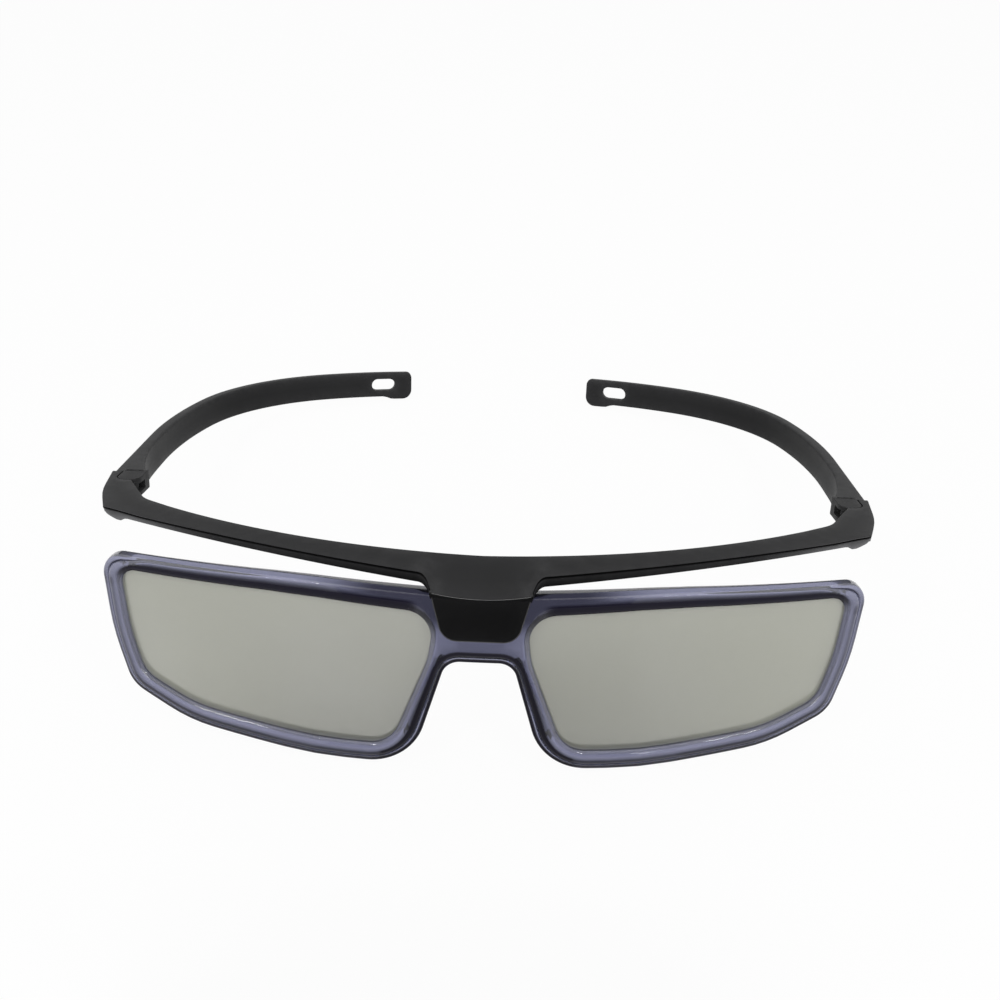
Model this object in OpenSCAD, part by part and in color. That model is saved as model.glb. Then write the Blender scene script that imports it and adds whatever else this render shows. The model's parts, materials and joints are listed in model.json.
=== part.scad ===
// Passive 3D glasses: a black brow bar with folding wrap-round arms, and a translucent frame hung under it.
// Sizes are in millimetres. The shapes are laid out as worn: X to the wearer's left, Y to the back of the
// head, Z up from the lowest point of the rims. They are then leaned back to stand on rims and arm tips.

/* [Lens openings] */
// Width of one opening along its top edge
lens_w = 59.3; // [52:0.1:66]
// Height of one opening
lens_h = 28.9; // [24:0.1:34]
// Space between the two openings at the top
lens_gap = 16.4; // [14:0.1:20]
// How far the nose side leans outwards on its way down
nose_lean = 7.9; // [6:0.1:9.5]
// How far the outer side leans inwards on its way down
outer_lean = 3.6; // [2.5:0.1:5]
// How much higher the lower outer corner is than the bottom edge
outer_lift = 8.2; // [6:0.1:10]
// Rounding of the lower nose corner
nose_corner_r = 6; // [4:0.5:8]
// Rounding of the upper nose corner
upper_corner_r = 5; // [3:0.5:6]
// Rounding of the upper outer corner
outer_corner_r = 3; // [2:0.5:4]
// Rounding of the lower outer corner
lower_corner_r = 5.5; // [4:0.5:7]

/* [Bends in the opening's edges] */
// Distance of the bend in the bottom edge from the inner side
low_bend_x = 22; // [19:0.5:26]
// Radius of that bend
low_bend_r = 80; // [50:5:100]
// Distance of the second bend in the bottom edge from the inner side
rise_bend_x = 45.7; // [42:0.1:48]
// Height of the second bend over the bottom edge
rise_bend_z = 3.3; // [2.5:0.1:3.5]
// Radius of the second bend
rise_bend_r = 25; // [15:1:30]
// Distance of the bend in the outer side from its top end
side_bend_x = 1.1; // [0.8:0.1:1.4]
// Height of that bend over the bottom edge
side_bend_z = 16.9; // [15:0.1:18]
// Radius of that bend
side_bend_r = 40; // [25:5:60]
// Distance of the bend in the top edge from the inner side
top_bend_x = 25.5; // [22:0.5:30]
// Radius of that bend
top_bend_r = 150; // [100:10:200]
// Rise of the top edge from there to the outer corner
outer_rise = 0.2; // [0.1:0.1:0.5]
// Fall of the top edge from there to the nose corner
nose_drop = 1.8; // [1.2:0.1:2.4]
// Distance of the bend in the nose side from its top end
nose_bend_x = 1.2; // [0.8:0.1:1.5]
// Height of that bend over the bottom edge
nose_bend_z = 17.7; // [15:0.1:19]
// Radius of that bend
nose_bend_r = 15; // [10:1:20]

/* [Lens frame] */
// Height of the rim under the opening
rim_bottom = 4.1; // [3:0.1:5]
// Width of the rim at the outer side
rim_side = 3.8; // [3:0.1:5]
// Width of the rim at the nose, low down
rim_nose = 5; // [4:0.1:5.5]
// Height of the rim over the opening
rim_top = 2.4; // [2:0.1:3.5]
// Extra height of the rim over the bend in the opening's top edge
rim_crown = 0.8; // [0.4:0.1:1]
// Radius of the bend where the top edge meets the bridge
bridge_bend_r = 60; // [40:5:100]
// Rounding of the rim's upper outer corner
rim_corner_r = 4.2; // [3:0.1:6]
// Rounding of the rim's lower outer corner
rim_lower_r = 6; // [4:0.1:8]
// Depth of the rim from front to back
rim_depth = 3.8; // [3.4:0.1:5]
// Radius that the front is bent to
front_r = 230; // [180:5:400]
// Height of the nose arch above the lowest point of the rims
arch_h = 21.7; // [18:0.1:24]
// Width of the nose arch at its top
arch_w = 12; // [10.5:0.1:13]
// Rounding at the top of the nose arch
arch_r = 3.4; // [2.5:0.1:4]
// Thickness of the nose flange
flange_t = 1.6; // [1.2:0.1:2]
// Radius of the nose flange's rounded outline
flange_r = 8; // [7:0.1:9]
// Height of the flange's middle over the opening's bottom edge
flange_h = 9; // [7:0.1:11]
// Depth of the flange's middle behind the front of the rim
flange_depth = 2.4; // [2:0.1:3]
// Distance of the nose flange from the rim's edge
flange_inset = 1.7; // [1.5:0.1:2]

/* [Lenses] */
// Thickness of the polarising sheet
polariser_t = 0.6; // [0.4:0.05:0.9]
// Thickness of the retarder film in front of it
film_t = 0.2; // [0.15:0.05:0.3]
// Bond line between film and sheet
bond_gap = 0.03; // [0.02:0.01:0.05]
// How far the lens sits behind the front of the rim
lens_recess = 1.2; // [0.9:0.1:1.6]
// How far the lens reaches into the rim's groove
lens_seat = 1; // [0.7:0.1:1.4]
// Play of the lens in its groove
lens_play = 0.1; // [0.05:0.05:0.2]

/* [Brow bar] */
// Height of the bar's top at its ends over the top of the lens frame
brow_rise = 5.1; // [4.4:0.1:6.5]
// How far the top's rear edge dips from the ends to the middle
rear_dip = 0.9; // [0.3:0.1:1.2]
// How far the top's front edge dips from the ends to the middle
front_dip = 1.9; // [1.2:0.1:2.2]
// Fall of the top from its rear edge to its front edge at the ends
brow_fall = 0.1; // [0.05:0.05:0.3]
// Step from the end pieces' top down to the bar and the arms
top_step = 0.05; // [0.03:0.01:0.1]
// How far the front corners stand outside the lens frame
brow_overhang = 2.8; // [2:0.1:6]
// How far the front edge's own curve starts behind the shield's face
brow_set_back = 0.6; // [0.4:0.05:1]
// Sweep of the front edge where it leaves the block, in degrees
brow_sweep = 11.3; // [9:0.1:13]
// Radius of the bar's front edge, seen from above
brow_front_r = 298; // [250:2:400]
// Radius of the bar's rear edge, seen from above
brow_rear_r = 122; // [116:1:130]
// Depth of the bar behind the shield, in the middle
brow_depth = 9.5; // [8.5:0.1:11]
// Height of the bar's front face at the ends
brow_face_h = 1.3; // [1:0.1:1.7]
// Growth of that height towards the block
brow_face_growth = 0.9; // [0.2:0.1:1]
// Height of the bar's rear face
brow_back_h = 2.6; // [2:0.1:3]
// Draft of the bar's front and rear faces from top to bottom
brow_draft = 0.2; // [0.1:0.05:0.4]

/* [Block and shield] */
// Width of the shield at its top
shield_top_w = 18; // [15:0.1:19]
// Width of the shield at its bottom
shield_bottom_w = 13.2; // [10:0.1:14]
// Height of the shield
shield_h = 9.5; // [7.5:0.1:10.5]
// Thickness of the shield
shield_t = 2.4; // [2:0.1:3]
// Height of the shield's top over the lens frame
shield_rise = 0.95; // [0.8:0.05:1.3]
// Gap between shield and bridge, and between block and bridge
seat_gap = 0.15; // [0.1:0.05:0.3]
// Rounding of the shield's lower corners
shield_corner_r = 3.4; // [1:0.1:4]
// How far the fold over the shield drops in the middle
fold_drop = 1; // [0.5:0.1:1.2]
// Rounding of the inner corner between bar and block
block_corner = 2.2; // [1.5:0.1:3]

/* [Bridge screws] */
// Distance between the two screws
screw_spacing = 8; // [6:0.1:9]
// Height of the screws over the shield's lower edge
screw_height = 3.6; // [3:0.1:5]
// Radius of the screw's shank
screw_r = 0.6; // [0.5:0.05:0.75]
// Radius of the screw's head
screw_head_r = 1.15; // [1:0.05:1.3]
// Height of the screw's head
screw_head_h = 0.8; // [0.6:0.05:1]
// How deep the screw's head sits behind the lens frame's rear face
screw_sink = 0.1; // [0.05:0.05:0.2]
// How far the screw bites into the shield
screw_bite = 1.5; // [1:0.1:1.7]
// Clearance of the screw in the lens frame
screw_play = 0.15; // [0.1:0.05:0.25]

/* [End pieces and hinges] */
// Length of the end piece behind the front corner
end_len = 21.3; // [18:0.1:26]
// How far the end piece widens towards its rear end
end_flare = 5.7; // [4:0.1:7]
// Height of the end piece and of the arm at the hinge
end_h = 4.1; // [3.8:0.1:5]
// Width of the end piece's front face
tab_w = 4.6; // [3.5:0.1:6]
// Height of the end piece's front face
tab_h = 2.3; // [1.8:0.1:3]
// Rounding of the front corner, seen from above
corner_r = 2.6; // [1.5:0.1:3]
// How far the outer side's bow lies outside the front corner
bow_out = 3.5; // [2.5:0.1:4]
// How far the bow lies behind the front corner
bow_back = 9; // [7:0.1:11]
// Radius of the bow
bow_r = 40; // [25:5:60]
// How much further in the end piece starts at the bar's rear edge than at its front edge
back_step = 1.5; // [1:0.1:2.5]
// Radius where the inner side meets the bar
inner_r = 2; // [1:0.1:3]
// Small rounding of the other edges
edge_r = 0.3; // [0.2:0.05:0.4]
// Wall of the end piece outside the hinge
end_wall = 1.9; // [1.5:0.1:2.5]
// Radius of the arm's rounded hinge nose
nose_r = 2.4; // [2.3:0.1:2.8]
// Distance from the hinge's centre back to the end stop
stop_back = 3; // [2.8:0.1:4]
// Distance of the end piece's inner side from the hinge's centre
neck_in = 1; // [0.8:0.1:1.2]
// Radius of the hinge tongue on the end piece
tongue_r = 1.6; // [1.4:0.1:1.8]
// Thickness of the hinge tongue
tongue_t = 1.6; // [1.4:0.1:1.8]
// Gap between tongue and ears
ear_gap = 0.12; // [0.08:0.01:0.2]
// Gap round the moving hinge parts
turn_gap = 0.35; // [0.3:0.05:0.5]
// Gap at the end stop
stop_gap = 0.15; // [0.1:0.05:0.3]
// Radius of the hinge pin
pin_r = 0.6; // [0.5:0.05:0.75]
// Running clearance of the pin in the tongue
pin_play = 0.05; // [0.02:0.01:0.08]
// How deep the pin sits in the lower ear
pin_sink = 0.1; // [0.05:0.05:0.2]
// Cover left over the pin in the upper ear
pin_cover = 0.5; // [0.3:0.1:0.7]
// Lean of both hinge pins to the same side, in degrees, so that folded arms pass over each other
hinge_cant = 3.4; // [3:0.1:4.5]

/* [Arms] */
// Step from the end piece's outer side in to the arm
arm_inset = 0.4; // [0.2:0.1:0.7]
// Outward splay of the arm where it leaves the hinge, in degrees
arm_splay = 3; // [1:0.1:4]
// Length of the straight run
arm_straight_len = 28; // [20:0.5:36]
// Length of the gentle bow behind it
arm_bow_len = 34; // [28:0.5:40]
// Turn of the bow, in degrees
arm_bow_turn = 15.5; // [10:0.5:18]
// Length of the wrap round the back of the head
arm_wrap_len = 44; // [38:0.5:50]
// Turn of the wrap, in degrees
arm_wrap_turn = 51; // [40:0.5:55]
// Length of the tip
arm_tip_len = 26.5; // [24:0.5:32]
// Turn of the tip, in degrees
arm_tip_turn = 16; // [8:0.5:20]
// Thickness of the arm
arm_t = 2.7; // [2.2:0.1:3.2]
// Height of the arm
arm_h = 7.2; // [6:0.1:8]
// Distance over which the arm tapers from the hinge to its own section
arm_taper = 22; // [16:0.5:28]
// Depth of the rounded foot under the tip
tip_foot = 0.8; // [0.4:0.1:1.2]
// Distance over which the foot swells, from the middle of the slot
foot_run = 2.8; // [2:0.1:4]
// Rounding of the tip's upper corner
tip_top_r = 1.6; // [1:0.1:2.4]
// Rounding of the tip's lower corner
tip_low_r = 2.8; // [2:0.1:3.6]
// Edge chamfer of the arm
arm_edge = 0.5; // [0.3:0.1:0.8]
// Length of the cord slot
slot_l = 7.1; // [5:0.1:8]
// Height of the cord slot
slot_h = 3.6; // [2:0.1:4]
// Distance of the slot's centre from the end of the tip
slot_in = 8.6; // [7:0.1:10]

/* [Hidden] */
$fn = 64;
black = "#232326";
violet = "#8a8ab0";
grey = "#a5a69b";
steel = "#b9bbbf";
// Largest turn of one step along a rounded corner, in degrees
arc_step = 12;
// Facets of the bent front's cylinders
bend_fn = 200;
// A length beyond every part, and the small overshoot of a cut
far = 60;
over = 1;

// Corners of the opening on the wearer's left, as [x, z, radius], seen from the front and anticlockwise
open_in = lens_gap / 2;
open_out = open_in + lens_w;
open_top = rim_bottom + lens_h;
corner_list = [
    [open_in + nose_lean, rim_bottom, nose_corner_r],
    [open_in + low_bend_x, rim_bottom, low_bend_r],
    [open_in + rise_bend_x, rim_bottom + rise_bend_z, rise_bend_r],
    [open_out - outer_lean, rim_bottom + outer_lift, lower_corner_r],
    [open_out - side_bend_x, rim_bottom + side_bend_z, side_bend_r],
    [open_out, open_top + outer_rise, outer_corner_r],
    [open_in + top_bend_x, open_top, top_bend_r],
    [open_in, open_top - nose_drop, upper_corner_r],
    [open_in + nose_bend_x, rim_bottom + nose_bend_z, nose_bend_r]];
// Which rim width lies along the edge that starts at each corner
rim_widths = [rim_bottom, rim_bottom, rim_bottom, rim_side, rim_side,
    rim_top, rim_top, rim_nose, rim_nose];

function spot(c) = [c[0], c[1]];
function unit(v) = v / norm(v);
function outward(d) = [d[1], -d[0]];
function turned(v, a) = [v[0] * cos(a) - v[1] * sin(a), v[0] * sin(a) + v[1] * cos(a)];
function cross2(a, b) = a[0] * b[1] - a[1] * b[0];

// A corner moved out by g1 from the edge before it and by g2 from the edge after it
function grown_corner(p, q, r, g1, g2) =
    let (n1 = outward(unit(q - p)), n2 = outward(unit(r - q)), area = cross2(n1, n2))
    q + [g1 * n2[1] - g2 * n1[1], g2 * n1[0] - g1 * n2[0]] / area;

// All corners moved out by one width per edge, with their radii grown too
function grown(corners, widths) =
    let (n = len(corners))
    [for (i = [0 : n - 1])
        let (before = (i + n - 1) % n, after = (i + 1) % n)
        concat(grown_corner(spot(corners[before]), spot(corners[i]), spot(corners[after]),
            widths[before], widths[i]), corners[i][2] + max(widths[before], widths[i]))];

// Points of the arc that rounds one corner
function corner_arc(p, q, r, radius) =
    let (d1 = unit(q - p), d2 = unit(r - q), turn = atan2(cross2(d1, d2), d1 * d2),
        start = q - d1 * radius * tan(abs(turn) / 2),
        centre = start - outward(d1) * radius * sign(turn),
        steps = max(1, ceil(abs(turn) / arc_step)))
    [for (i = [0 : steps]) centre + turned(start - centre, turn * i / steps)];

function rounded(corners) =
    let (n = len(corners))
    [for (i = [0 : n - 1])
        each corner_arc(spot(corners[(i + n - 1) % n]), spot(corners[i]), spot(corners[(i + 1) % n]),
            corners[i][2])];

function even(width) = [for (w = rim_widths) width];

plain_rim = grown(corner_list, rim_widths);
rim_corners = [for (i = [0 : len(plain_rim) - 1])
    let (c = plain_rim[i])
    i == 3 ? [c[0], c[1], rim_lower_r]
        : i == 5 ? [c[0], c[1], rim_corner_r]
        : i == 6 ? [c[0], c[1] + rim_crown, c[2]] : c];
rim_outline = rounded(rim_corners);
rim_top_z = max([for (p = rim_outline) p[1]]);
rim_out_x = max([for (p = rim_outline) p[0]]);

// Y of the bent front, or of the layer at some depth behind it
function bend_y(x, depth = 0) = front_r - sqrt(pow(front_r - depth, 2) - x * x);

// Half of the outer outline, from the top of the nose arch round to the middle of the top edge
bridge_top_z = open_top + rim_top;
half_corners = concat([[arch_w / 2, arch_h, arch_r]], [for (i = [0 : 6]) rim_corners[i]],
    [[shield_top_w / 2, bridge_top_z, bridge_bend_r]]);
function mirrored(c) = [-c[0], c[1], c[2]];
frame_outline = rounded(concat(half_corners, [for (i = [8 : -1 : 0]) mirrored(half_corners[i])]));

// Brow bar heights and edges, by distance x from the middle
top_z = rim_top_z + brow_rise;
corner_x = rim_out_x + brow_overhang;
shield_front = -seat_gap - shield_t;
shield_top_z = rim_top_z + shield_rise;
shield_low_z = shield_top_z - shield_h;
block_half = shield_top_w / 2;
bar_start = block_half + block_corner;
bar_end = corner_x - tab_w / 2;
function share(x) = min(1, x / corner_x);
function bar_front_y(x) = shield_front + brow_set_back + tan(brow_sweep) * x
    + x * x / (2 * brow_front_r);
function bar_rear_y(x) = shield_front + brow_depth + brow_rear_r
    - sqrt(brow_rear_r * brow_rear_r - x * x);
function bar_rear_z(x) = top_z - top_step - rear_dip * pow(1 - share(x), 1.5);
function bar_front_z(x) = top_z - top_step - brow_fall - front_dip * (1 - share(x));
function ease(t) = t * t * (3 - 2 * t);
function block_share(x) = sqrt(1 - pow(1 - max(0, min(1, (x - block_half) / block_corner)), 2));
function fold_z(x) = shield_top_z - fold_drop * (1 - min(1, pow(x / block_half, 2)));
function front_y(x) = shield_front + block_share(x) * (bar_front_y(x) - shield_front);
function front_z(x) = fold_z(x) + block_share(x) * (bar_front_z(x) - fold_z(x));
function face_h(x) = brow_face_h + brow_face_growth * (1 - share(x));
function under_z(x) = max(front_z(x) - face_h(x), bridge_top_z + seat_gap);

// Hinge on the wearer's left
corner_y = bar_front_y(corner_x);
end_x = corner_x + end_flare;
end_y = corner_y + end_len;
hinge = [end_x - end_wall - turn_gap - nose_r, end_y + stop_gap - stop_back];
end_low_z = top_z - end_h;
hinge_z = top_z - end_h / 2;
tongue_room = tongue_r + turn_gap;
pin_low_z = end_low_z + pin_sink;
pin_len = end_h - pin_sink - pin_cover;

// Arm: the path of its outer face, by distance s from the end stop
wrap_start = arm_straight_len + arm_bow_len;
tip_start = wrap_start + arm_wrap_len;
arm_runs = [[arm_straight_len, arm_bow_len, arm_bow_turn], [wrap_start, arm_wrap_len, arm_wrap_turn],
    [tip_start, arm_tip_len, arm_tip_turn]];
arm_len = tip_start + arm_tip_len;
arm_start = [end_x - arm_inset, end_y + stop_gap];
arm_head_t = arm_start[0] - hinge[0] + nose_r;
function sum(v, i = 0) = i < len(v) ? v[i] + sum(v, i + 1) : 0;
function heading(s) = sum([for (r = arm_runs) r[2] * max(0, min(1, (s - r[0]) / r[1]))]) - arm_splay;
function ahead(s) = [-sin(heading(s)), cos(heading(s))];
function inwards(s) = [-cos(heading(s)), -sin(heading(s))];
function taper(s) = pow(max(0, 1 - s / arm_taper), 2);
function arm_thick(s) = arm_t + (arm_head_t - arm_t) * taper(s);
function arm_height(s) = arm_h - (arm_h - end_h) * taper(s);
stations = 72;
path_step = arm_len / stations;
arm_path = [for (i = 0, p = arm_start;
    i <= stations;
    p = p + path_step * ahead((i + 0.5) * path_step), i = i + 1) p];
function arm_spot(s) =
    let (i = min(stations - 1, floor(s / path_step)), t = s / path_step - i)
    arm_path[i] + t * (arm_path[i + 1] - arm_path[i]);
tip_s = arm_len - tip_low_r;
slot_s = arm_len - slot_in;
// The foot swells under the tip, and the end has a rounded corner above and below
function foot_share(s) = max(0, min(1, (s - slot_s) / foot_run));
function corner_cut(s, r) =
    let (past = s - arm_len + r)
    past > 0 ? r - sqrt(max(0, r * r - past * past)) : 0;
function arm_low(s) = top_z - arm_height(s) - tip_foot * ease(foot_share(s)) + corner_cut(s, tip_low_r);
function arm_top(s) = top_z - top_step - corner_cut(s, tip_top_r);
body_stops = 44;
arm_stops = concat([for (i = [0 : body_stops]) i * tip_s / body_stops],
    [for (a = [15 : 15 : 90]) tip_s + tip_low_r * sin(a)]);

// Lean of the whole pair when it stands on rims and tips: the rear lower edges of the rims and the tips'
// lower edges, as [y, z], give the two places that touch the floor
function height(p, a) = p[1] * cos(a) - p[0] * sin(a);
function reach(p, a) = p[0] * cos(a) + p[1] * sin(a);
function lowest(places, a) =
    let (heights = [for (p = places) height(p, a)])
    places[search(min(heights), heights)[0]];
rim_feet = [for (p = frame_outline) [bend_y(p[0], rim_depth), p[1]]];
tip_feet = [for (s = arm_stops) [(arm_spot(s) + arm_edge * inwards(s))[1], arm_low(s)]];
first_lean = atan(arm_low(tip_s) / ((arm_spot(tip_s))[1] - rim_depth));
rim_foot = lowest(rim_feet, first_lean);
tip_foot_spot = lowest(tip_feet, first_lean);
lean = atan2(tip_foot_spot[1] - rim_foot[1], tip_foot_spot[0] - rim_foot[0]);
floor_z = height(rim_foot, lean);
front_reach = min([for (p = frame_outline) reach([bend_y(p[0]), p[1]], lean)]);
rear_reach = max([for (s = arm_stops) reach([(arm_spot(s))[1], arm_top(s) - arm_edge], lean)]);

// Stands the worn shape on its rims and tips, with the origin under the middle of its box
module stand() {
    translate([0, -(front_reach + rear_reach) / 2, -floor_z])
        rotate([-lean, 0, 0])
            children();
}

// A flat outline in X and Z, made solid from front to back
module upright(from_y, to_y) {
    translate([0, to_y, 0])
        rotate([90, 0, 0])
            linear_extrude(height = to_y - from_y)
                children();
}

// The layer of the bent front between two depths
module bent_layer(from_depth, to_depth) {
    translate([0, front_r, -far / 4])
        difference() {
            cylinder(h = 2 * far, r = front_r - from_depth, $fn = bend_fn);
            translate([0, 0, -over])
                cylinder(h = 2 * (far + over), r = front_r - to_depth, $fn = bend_fn);
        }
}

module both_sides() {
    children();
    mirror([1, 0, 0])
        children();
}

// Side 1 is the wearer's left, side -1 the right
module on_side(side) {
    if (side > 0)
        children();
    else
        mirror([1, 0, 0])
            children();
}

// Skin through rings of points that all have the same count
module loft(rings) {
    n = len(rings[0]);
    last = len(rings) - 1;
    points = [for (ring = rings) each ring];
    sides = [for (i = [0 : last - 1], k = [0 : n - 1])
        let (a = i * n + k, b = i * n + (k + 1) % n)
        each [[a, b + n, b], [a, a + n, b + n]]];
    caps = [[for (k = [0 : n - 1]) k], [for (k = [n - 1 : -1 : 0]) last * n + k]];
    polyhedron(points = points, faces = concat(sides, caps));
}

// Lens outline grown by one width all round
module lens_area(width) {
    polygon(rounded(grown(corner_list, even(width))));
}

module lens_sheet(side, from_depth, to_depth) {
    on_side(side)
        intersection() {
            bent_layer(from_depth, to_depth);
            upright(-over, far / 3)
                lens_area(lens_seat);
        }
}

module retarder_film(side) {
    color(grey, 0.4)
        stand()
            lens_sheet(side, lens_recess, lens_recess + film_t);
}

module polariser(side) {
    front = lens_recess + film_t + bond_gap;
    color(grey, 0.5)
        stand()
            lens_sheet(side, front, front + polariser_t);
}

// Flange behind the nose side of the rim, just inside the rim's own edge
module nose_flange() {
    outer = grown(corner_list, even(rim_nose - flange_inset));
    inner = grown(corner_list, even(rim_nose - flange_inset - flange_t));
    intersection() {
        upright(rim_depth / 2, far / 3)
            polygon([spot(outer[0]), spot(inner[0]), spot(inner[8]), spot(outer[8])]);
        translate([0, flange_depth, rim_bottom + flange_h])
            rotate([0, 90, 0])
                cylinder(h = far, r = flange_r);
    }
}

module screw_places() {
    for (x = [-1, 1] * screw_spacing / 2)
        translate([x, 0, shield_low_z + screw_height])
            rotate([-90, 0, 0])
                children();
}

head_seat_y = rim_depth - screw_head_h - screw_sink;

module lens_frame() {
    groove = lens_recess + film_t + bond_gap + polariser_t + lens_play;
    color(violet, 0.7)
        stand()
            difference() {
                union() {
                    intersection() {
                        bent_layer(0, rim_depth);
                        upright(-over, far / 3)
                            polygon(frame_outline);
                    }
                    both_sides()
                        nose_flange();
                }
                both_sides()
                    upright(-over, far / 2)
                        lens_area(0);
                both_sides()
                    intersection() {
                        bent_layer(lens_recess - lens_play, groove);
                        upright(-over, far / 3)
                            lens_area(lens_seat + lens_play);
                    }
                screw_places() {
                    translate([0, 0, -over])
                        cylinder(h = far / 4, r = screw_r + screw_play);
                    translate([0, 0, head_seat_y])
                        cylinder(h = far / 4, r = screw_head_r + screw_play);
                }
            }
}

module bridge_screws() {
    color(steel)
        stand()
            screw_places() {
                translate([0, 0, -seat_gap - screw_bite])
                    cylinder(h = head_seat_y + seat_gap + screw_bite, r = screw_r);
                translate([0, 0, head_seat_y])
                    cylinder(h = screw_head_h, r = screw_head_r);
            }
}

// The bar and block as one skin, cut across at each x
bar_count = 14;
bar_stops = concat([0, 0.4, 0.7, 0.9, 1] * block_half,
    [for (a = [15 : 15 : 90]) block_half + block_corner * (1 - cos(a))],
    [for (i = [1 : bar_count]) bar_start + (bar_end - bar_start) * i / bar_count]);
function bar_ring(x) =
    let (a = abs(x))
    [[x, front_y(a), front_z(a)],
        [x, front_y(a) + brow_draft, under_z(a)],
        [x, bar_rear_y(a) - brow_draft, bar_rear_z(a) - brow_back_h],
        [x, bar_rear_y(a), bar_rear_z(a)]];

module bar() {
    count = len(bar_stops);
    loft(concat([for (i = [count - 1 : -1 : 1]) bar_ring(-bar_stops[i])],
        [for (x = bar_stops) bar_ring(x)]));
}

module shield() {
    low_half = shield_bottom_w / 2;
    upright(shield_front, -seat_gap)
        polygon(rounded([[-low_half, shield_low_z, shield_corner_r],
            [low_half, shield_low_z, shield_corner_r],
            [block_half, shield_top_z - edge_r, edge_r],
            [0, shield_top_z - fold_drop - edge_r, edge_r],
            [-block_half, shield_top_z - edge_r, edge_r]]));
}

// End piece: a low face at the front corner, deepening under the hinge
module end_piece(side) {
    tab_x = corner_x - tab_w;
    back_x = tab_x - back_step;
    inner_x = hinge[0] - neck_in;
    slope = atan((end_h - tab_h) / (end_len - stop_back - nose_r));
    difference() {
        translate([0, 0, end_low_z])
            linear_extrude(height = end_h)
                polygon(rounded([[tab_x, bar_front_y(tab_x), edge_r],
                    [corner_x, corner_y, corner_r],
                    [corner_x + bow_out, corner_y + bow_back, bow_r],
                    [end_x, end_y, edge_r],
                    [hinge[0], end_y, edge_r],
                    [inner_x, hinge[1] - nose_r, edge_r],
                    [back_x, bar_rear_y(back_x), inner_r]]));
        translate([tab_x - far / 4, corner_y, top_z - tab_h])
            rotate([-slope, 0, 0])
                translate([0, -far / 2, -far / 2])
                    cube([far / 2, far, far / 2]);
        hinge_pocket();
    }
    hinge_tongue(side);
}

// Room for the arm's nose and for its flank beside the outer wall
module hinge_pocket() {
    pocket_r = nose_r + turn_gap;
    pocket_h = end_h + 2 * over;
    translate([hinge[0], hinge[1], end_low_z - over]) {
        cylinder(h = pocket_h, r = pocket_r);
        translate([-far, 0, 0])
            cube([far + pocket_r, far, pocket_h]);
    }
}

// The hinge's own frame, with Z along the pin
module at_hinge(side) {
    translate([hinge[0], hinge[1], hinge_z])
        rotate([0, hinge_cant * side, 0])
            children();
}

module hinge_tongue(side) {
    root = nose_r + turn_gap + over;
    at_hinge(side)
        translate([0, 0, -tongue_t / 2])
            difference() {
                union() {
                    cylinder(h = tongue_t, r = tongue_r);
                    translate([-neck_in, -root, 0])
                        cube([neck_in + tongue_r, root, tongue_t]);
                }
                translate([0, 0, -over])
                    cylinder(h = tongue_t + 2 * over, r = pin_r + pin_play);
            }
}

module pin_shape(side) {
    at_hinge(side)
        translate([0, 0, pin_low_z - hinge_z])
            cylinder(h = pin_len, r = pin_r);
}

module hinge_pin(side) {
    color(steel)
        stand()
            on_side(side)
                pin_shape(side);
}

module brow_bar() {
    color(black)
        stand()
            difference() {
                union() {
                    bar();
                    shield();
                    for (side = [1, -1])
                        on_side(side)
                            end_piece(side);
                }
                screw_places()
                    translate([0, 0, -seat_gap - screw_bite])
                        cylinder(h = screw_bite, r = screw_r);
            }
}

// Cross-section of the arm at distance s, with its edges taken off
function arm_ring(s) =
    let (p = arm_spot(s), q = inwards(s), t = arm_thick(s), low = arm_low(s), high = arm_top(s),
        e = min(arm_edge, (high - low) / 4))
    [for (c = [[0, low + e], [e, low], [t - e, low], [t, low + e],
        [t, high - e], [t - e, high], [e, high], [0, high - e]])
        concat(p + q * c[0], c[1])];

// The arm's end at the hinge: a round nose with a slot for the tongue
module hinge_head(side) {
    room = tongue_t / 2 + ear_gap;
    difference() {
        translate([hinge[0], hinge[1], end_low_z]) {
            cylinder(h = end_h, r = nose_r);
            translate([-nose_r, 0, 0])
                cube([2 * nose_r, stop_back + over, end_h]);
        }
        at_hinge(side)
            translate([0, 0, -room]) {
                cylinder(h = 2 * room, r = tongue_room);
                translate([-far, -far, 0])
                    cube([far, far + tongue_room, 2 * room]);
                translate([-over, -far, 0])
                    cube([far, far, 2 * room]);
            }
        pin_shape(side);
    }
}

module cord_slot() {
    p = arm_spot(slot_s);
    straight = slot_l - slot_h;
    translate([p[0], p[1], (arm_low(slot_s) + arm_top(slot_s)) / 2])
        rotate([0, 0, heading(slot_s)])
            rotate([0, 90, 0]) {
                translate([-slot_h / 2, -straight / 2, -far / 6])
                    cube([slot_h, straight, far / 3]);
                for (y = [-1, 1] * straight / 2)
                    translate([0, y, -far / 6])
                        cylinder(h = far / 3, r = slot_h / 2);
            }
}

module temple(side) {
    color(black)
        stand()
            on_side(side)
                difference() {
                    union() {
                        loft([for (s = arm_stops) arm_ring(s)]);
                        hinge_head(side);
                    }
                    cord_slot();
                }
}

brow_bar();
lens_frame();
polariser(1);  // left_polariser
polariser(-1);  // right_polariser
retarder_film(1);  // left_retarder_film
retarder_film(-1);  // right_retarder_film
bridge_screws();
temple(1);  // left_temple
temple(-1);  // right_temple
hinge_pin(1);  // left_hinge_pin
hinge_pin(-1);  // right_hinge_pin
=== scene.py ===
"""Passive 3D glasses: a black brow bar with folding arms, and a translucent lens frame hung under it.

Lengths are written in millimetres, as worn: X to the wearer's left, Y to the back of the head, Z up from the
lowest point of the rims. stand() turns them into metres in the part's own frame.
"""
import json
import math

import bmesh
import bpy
import numpy as np
from mathutils import Matrix, Vector, geometry


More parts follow.
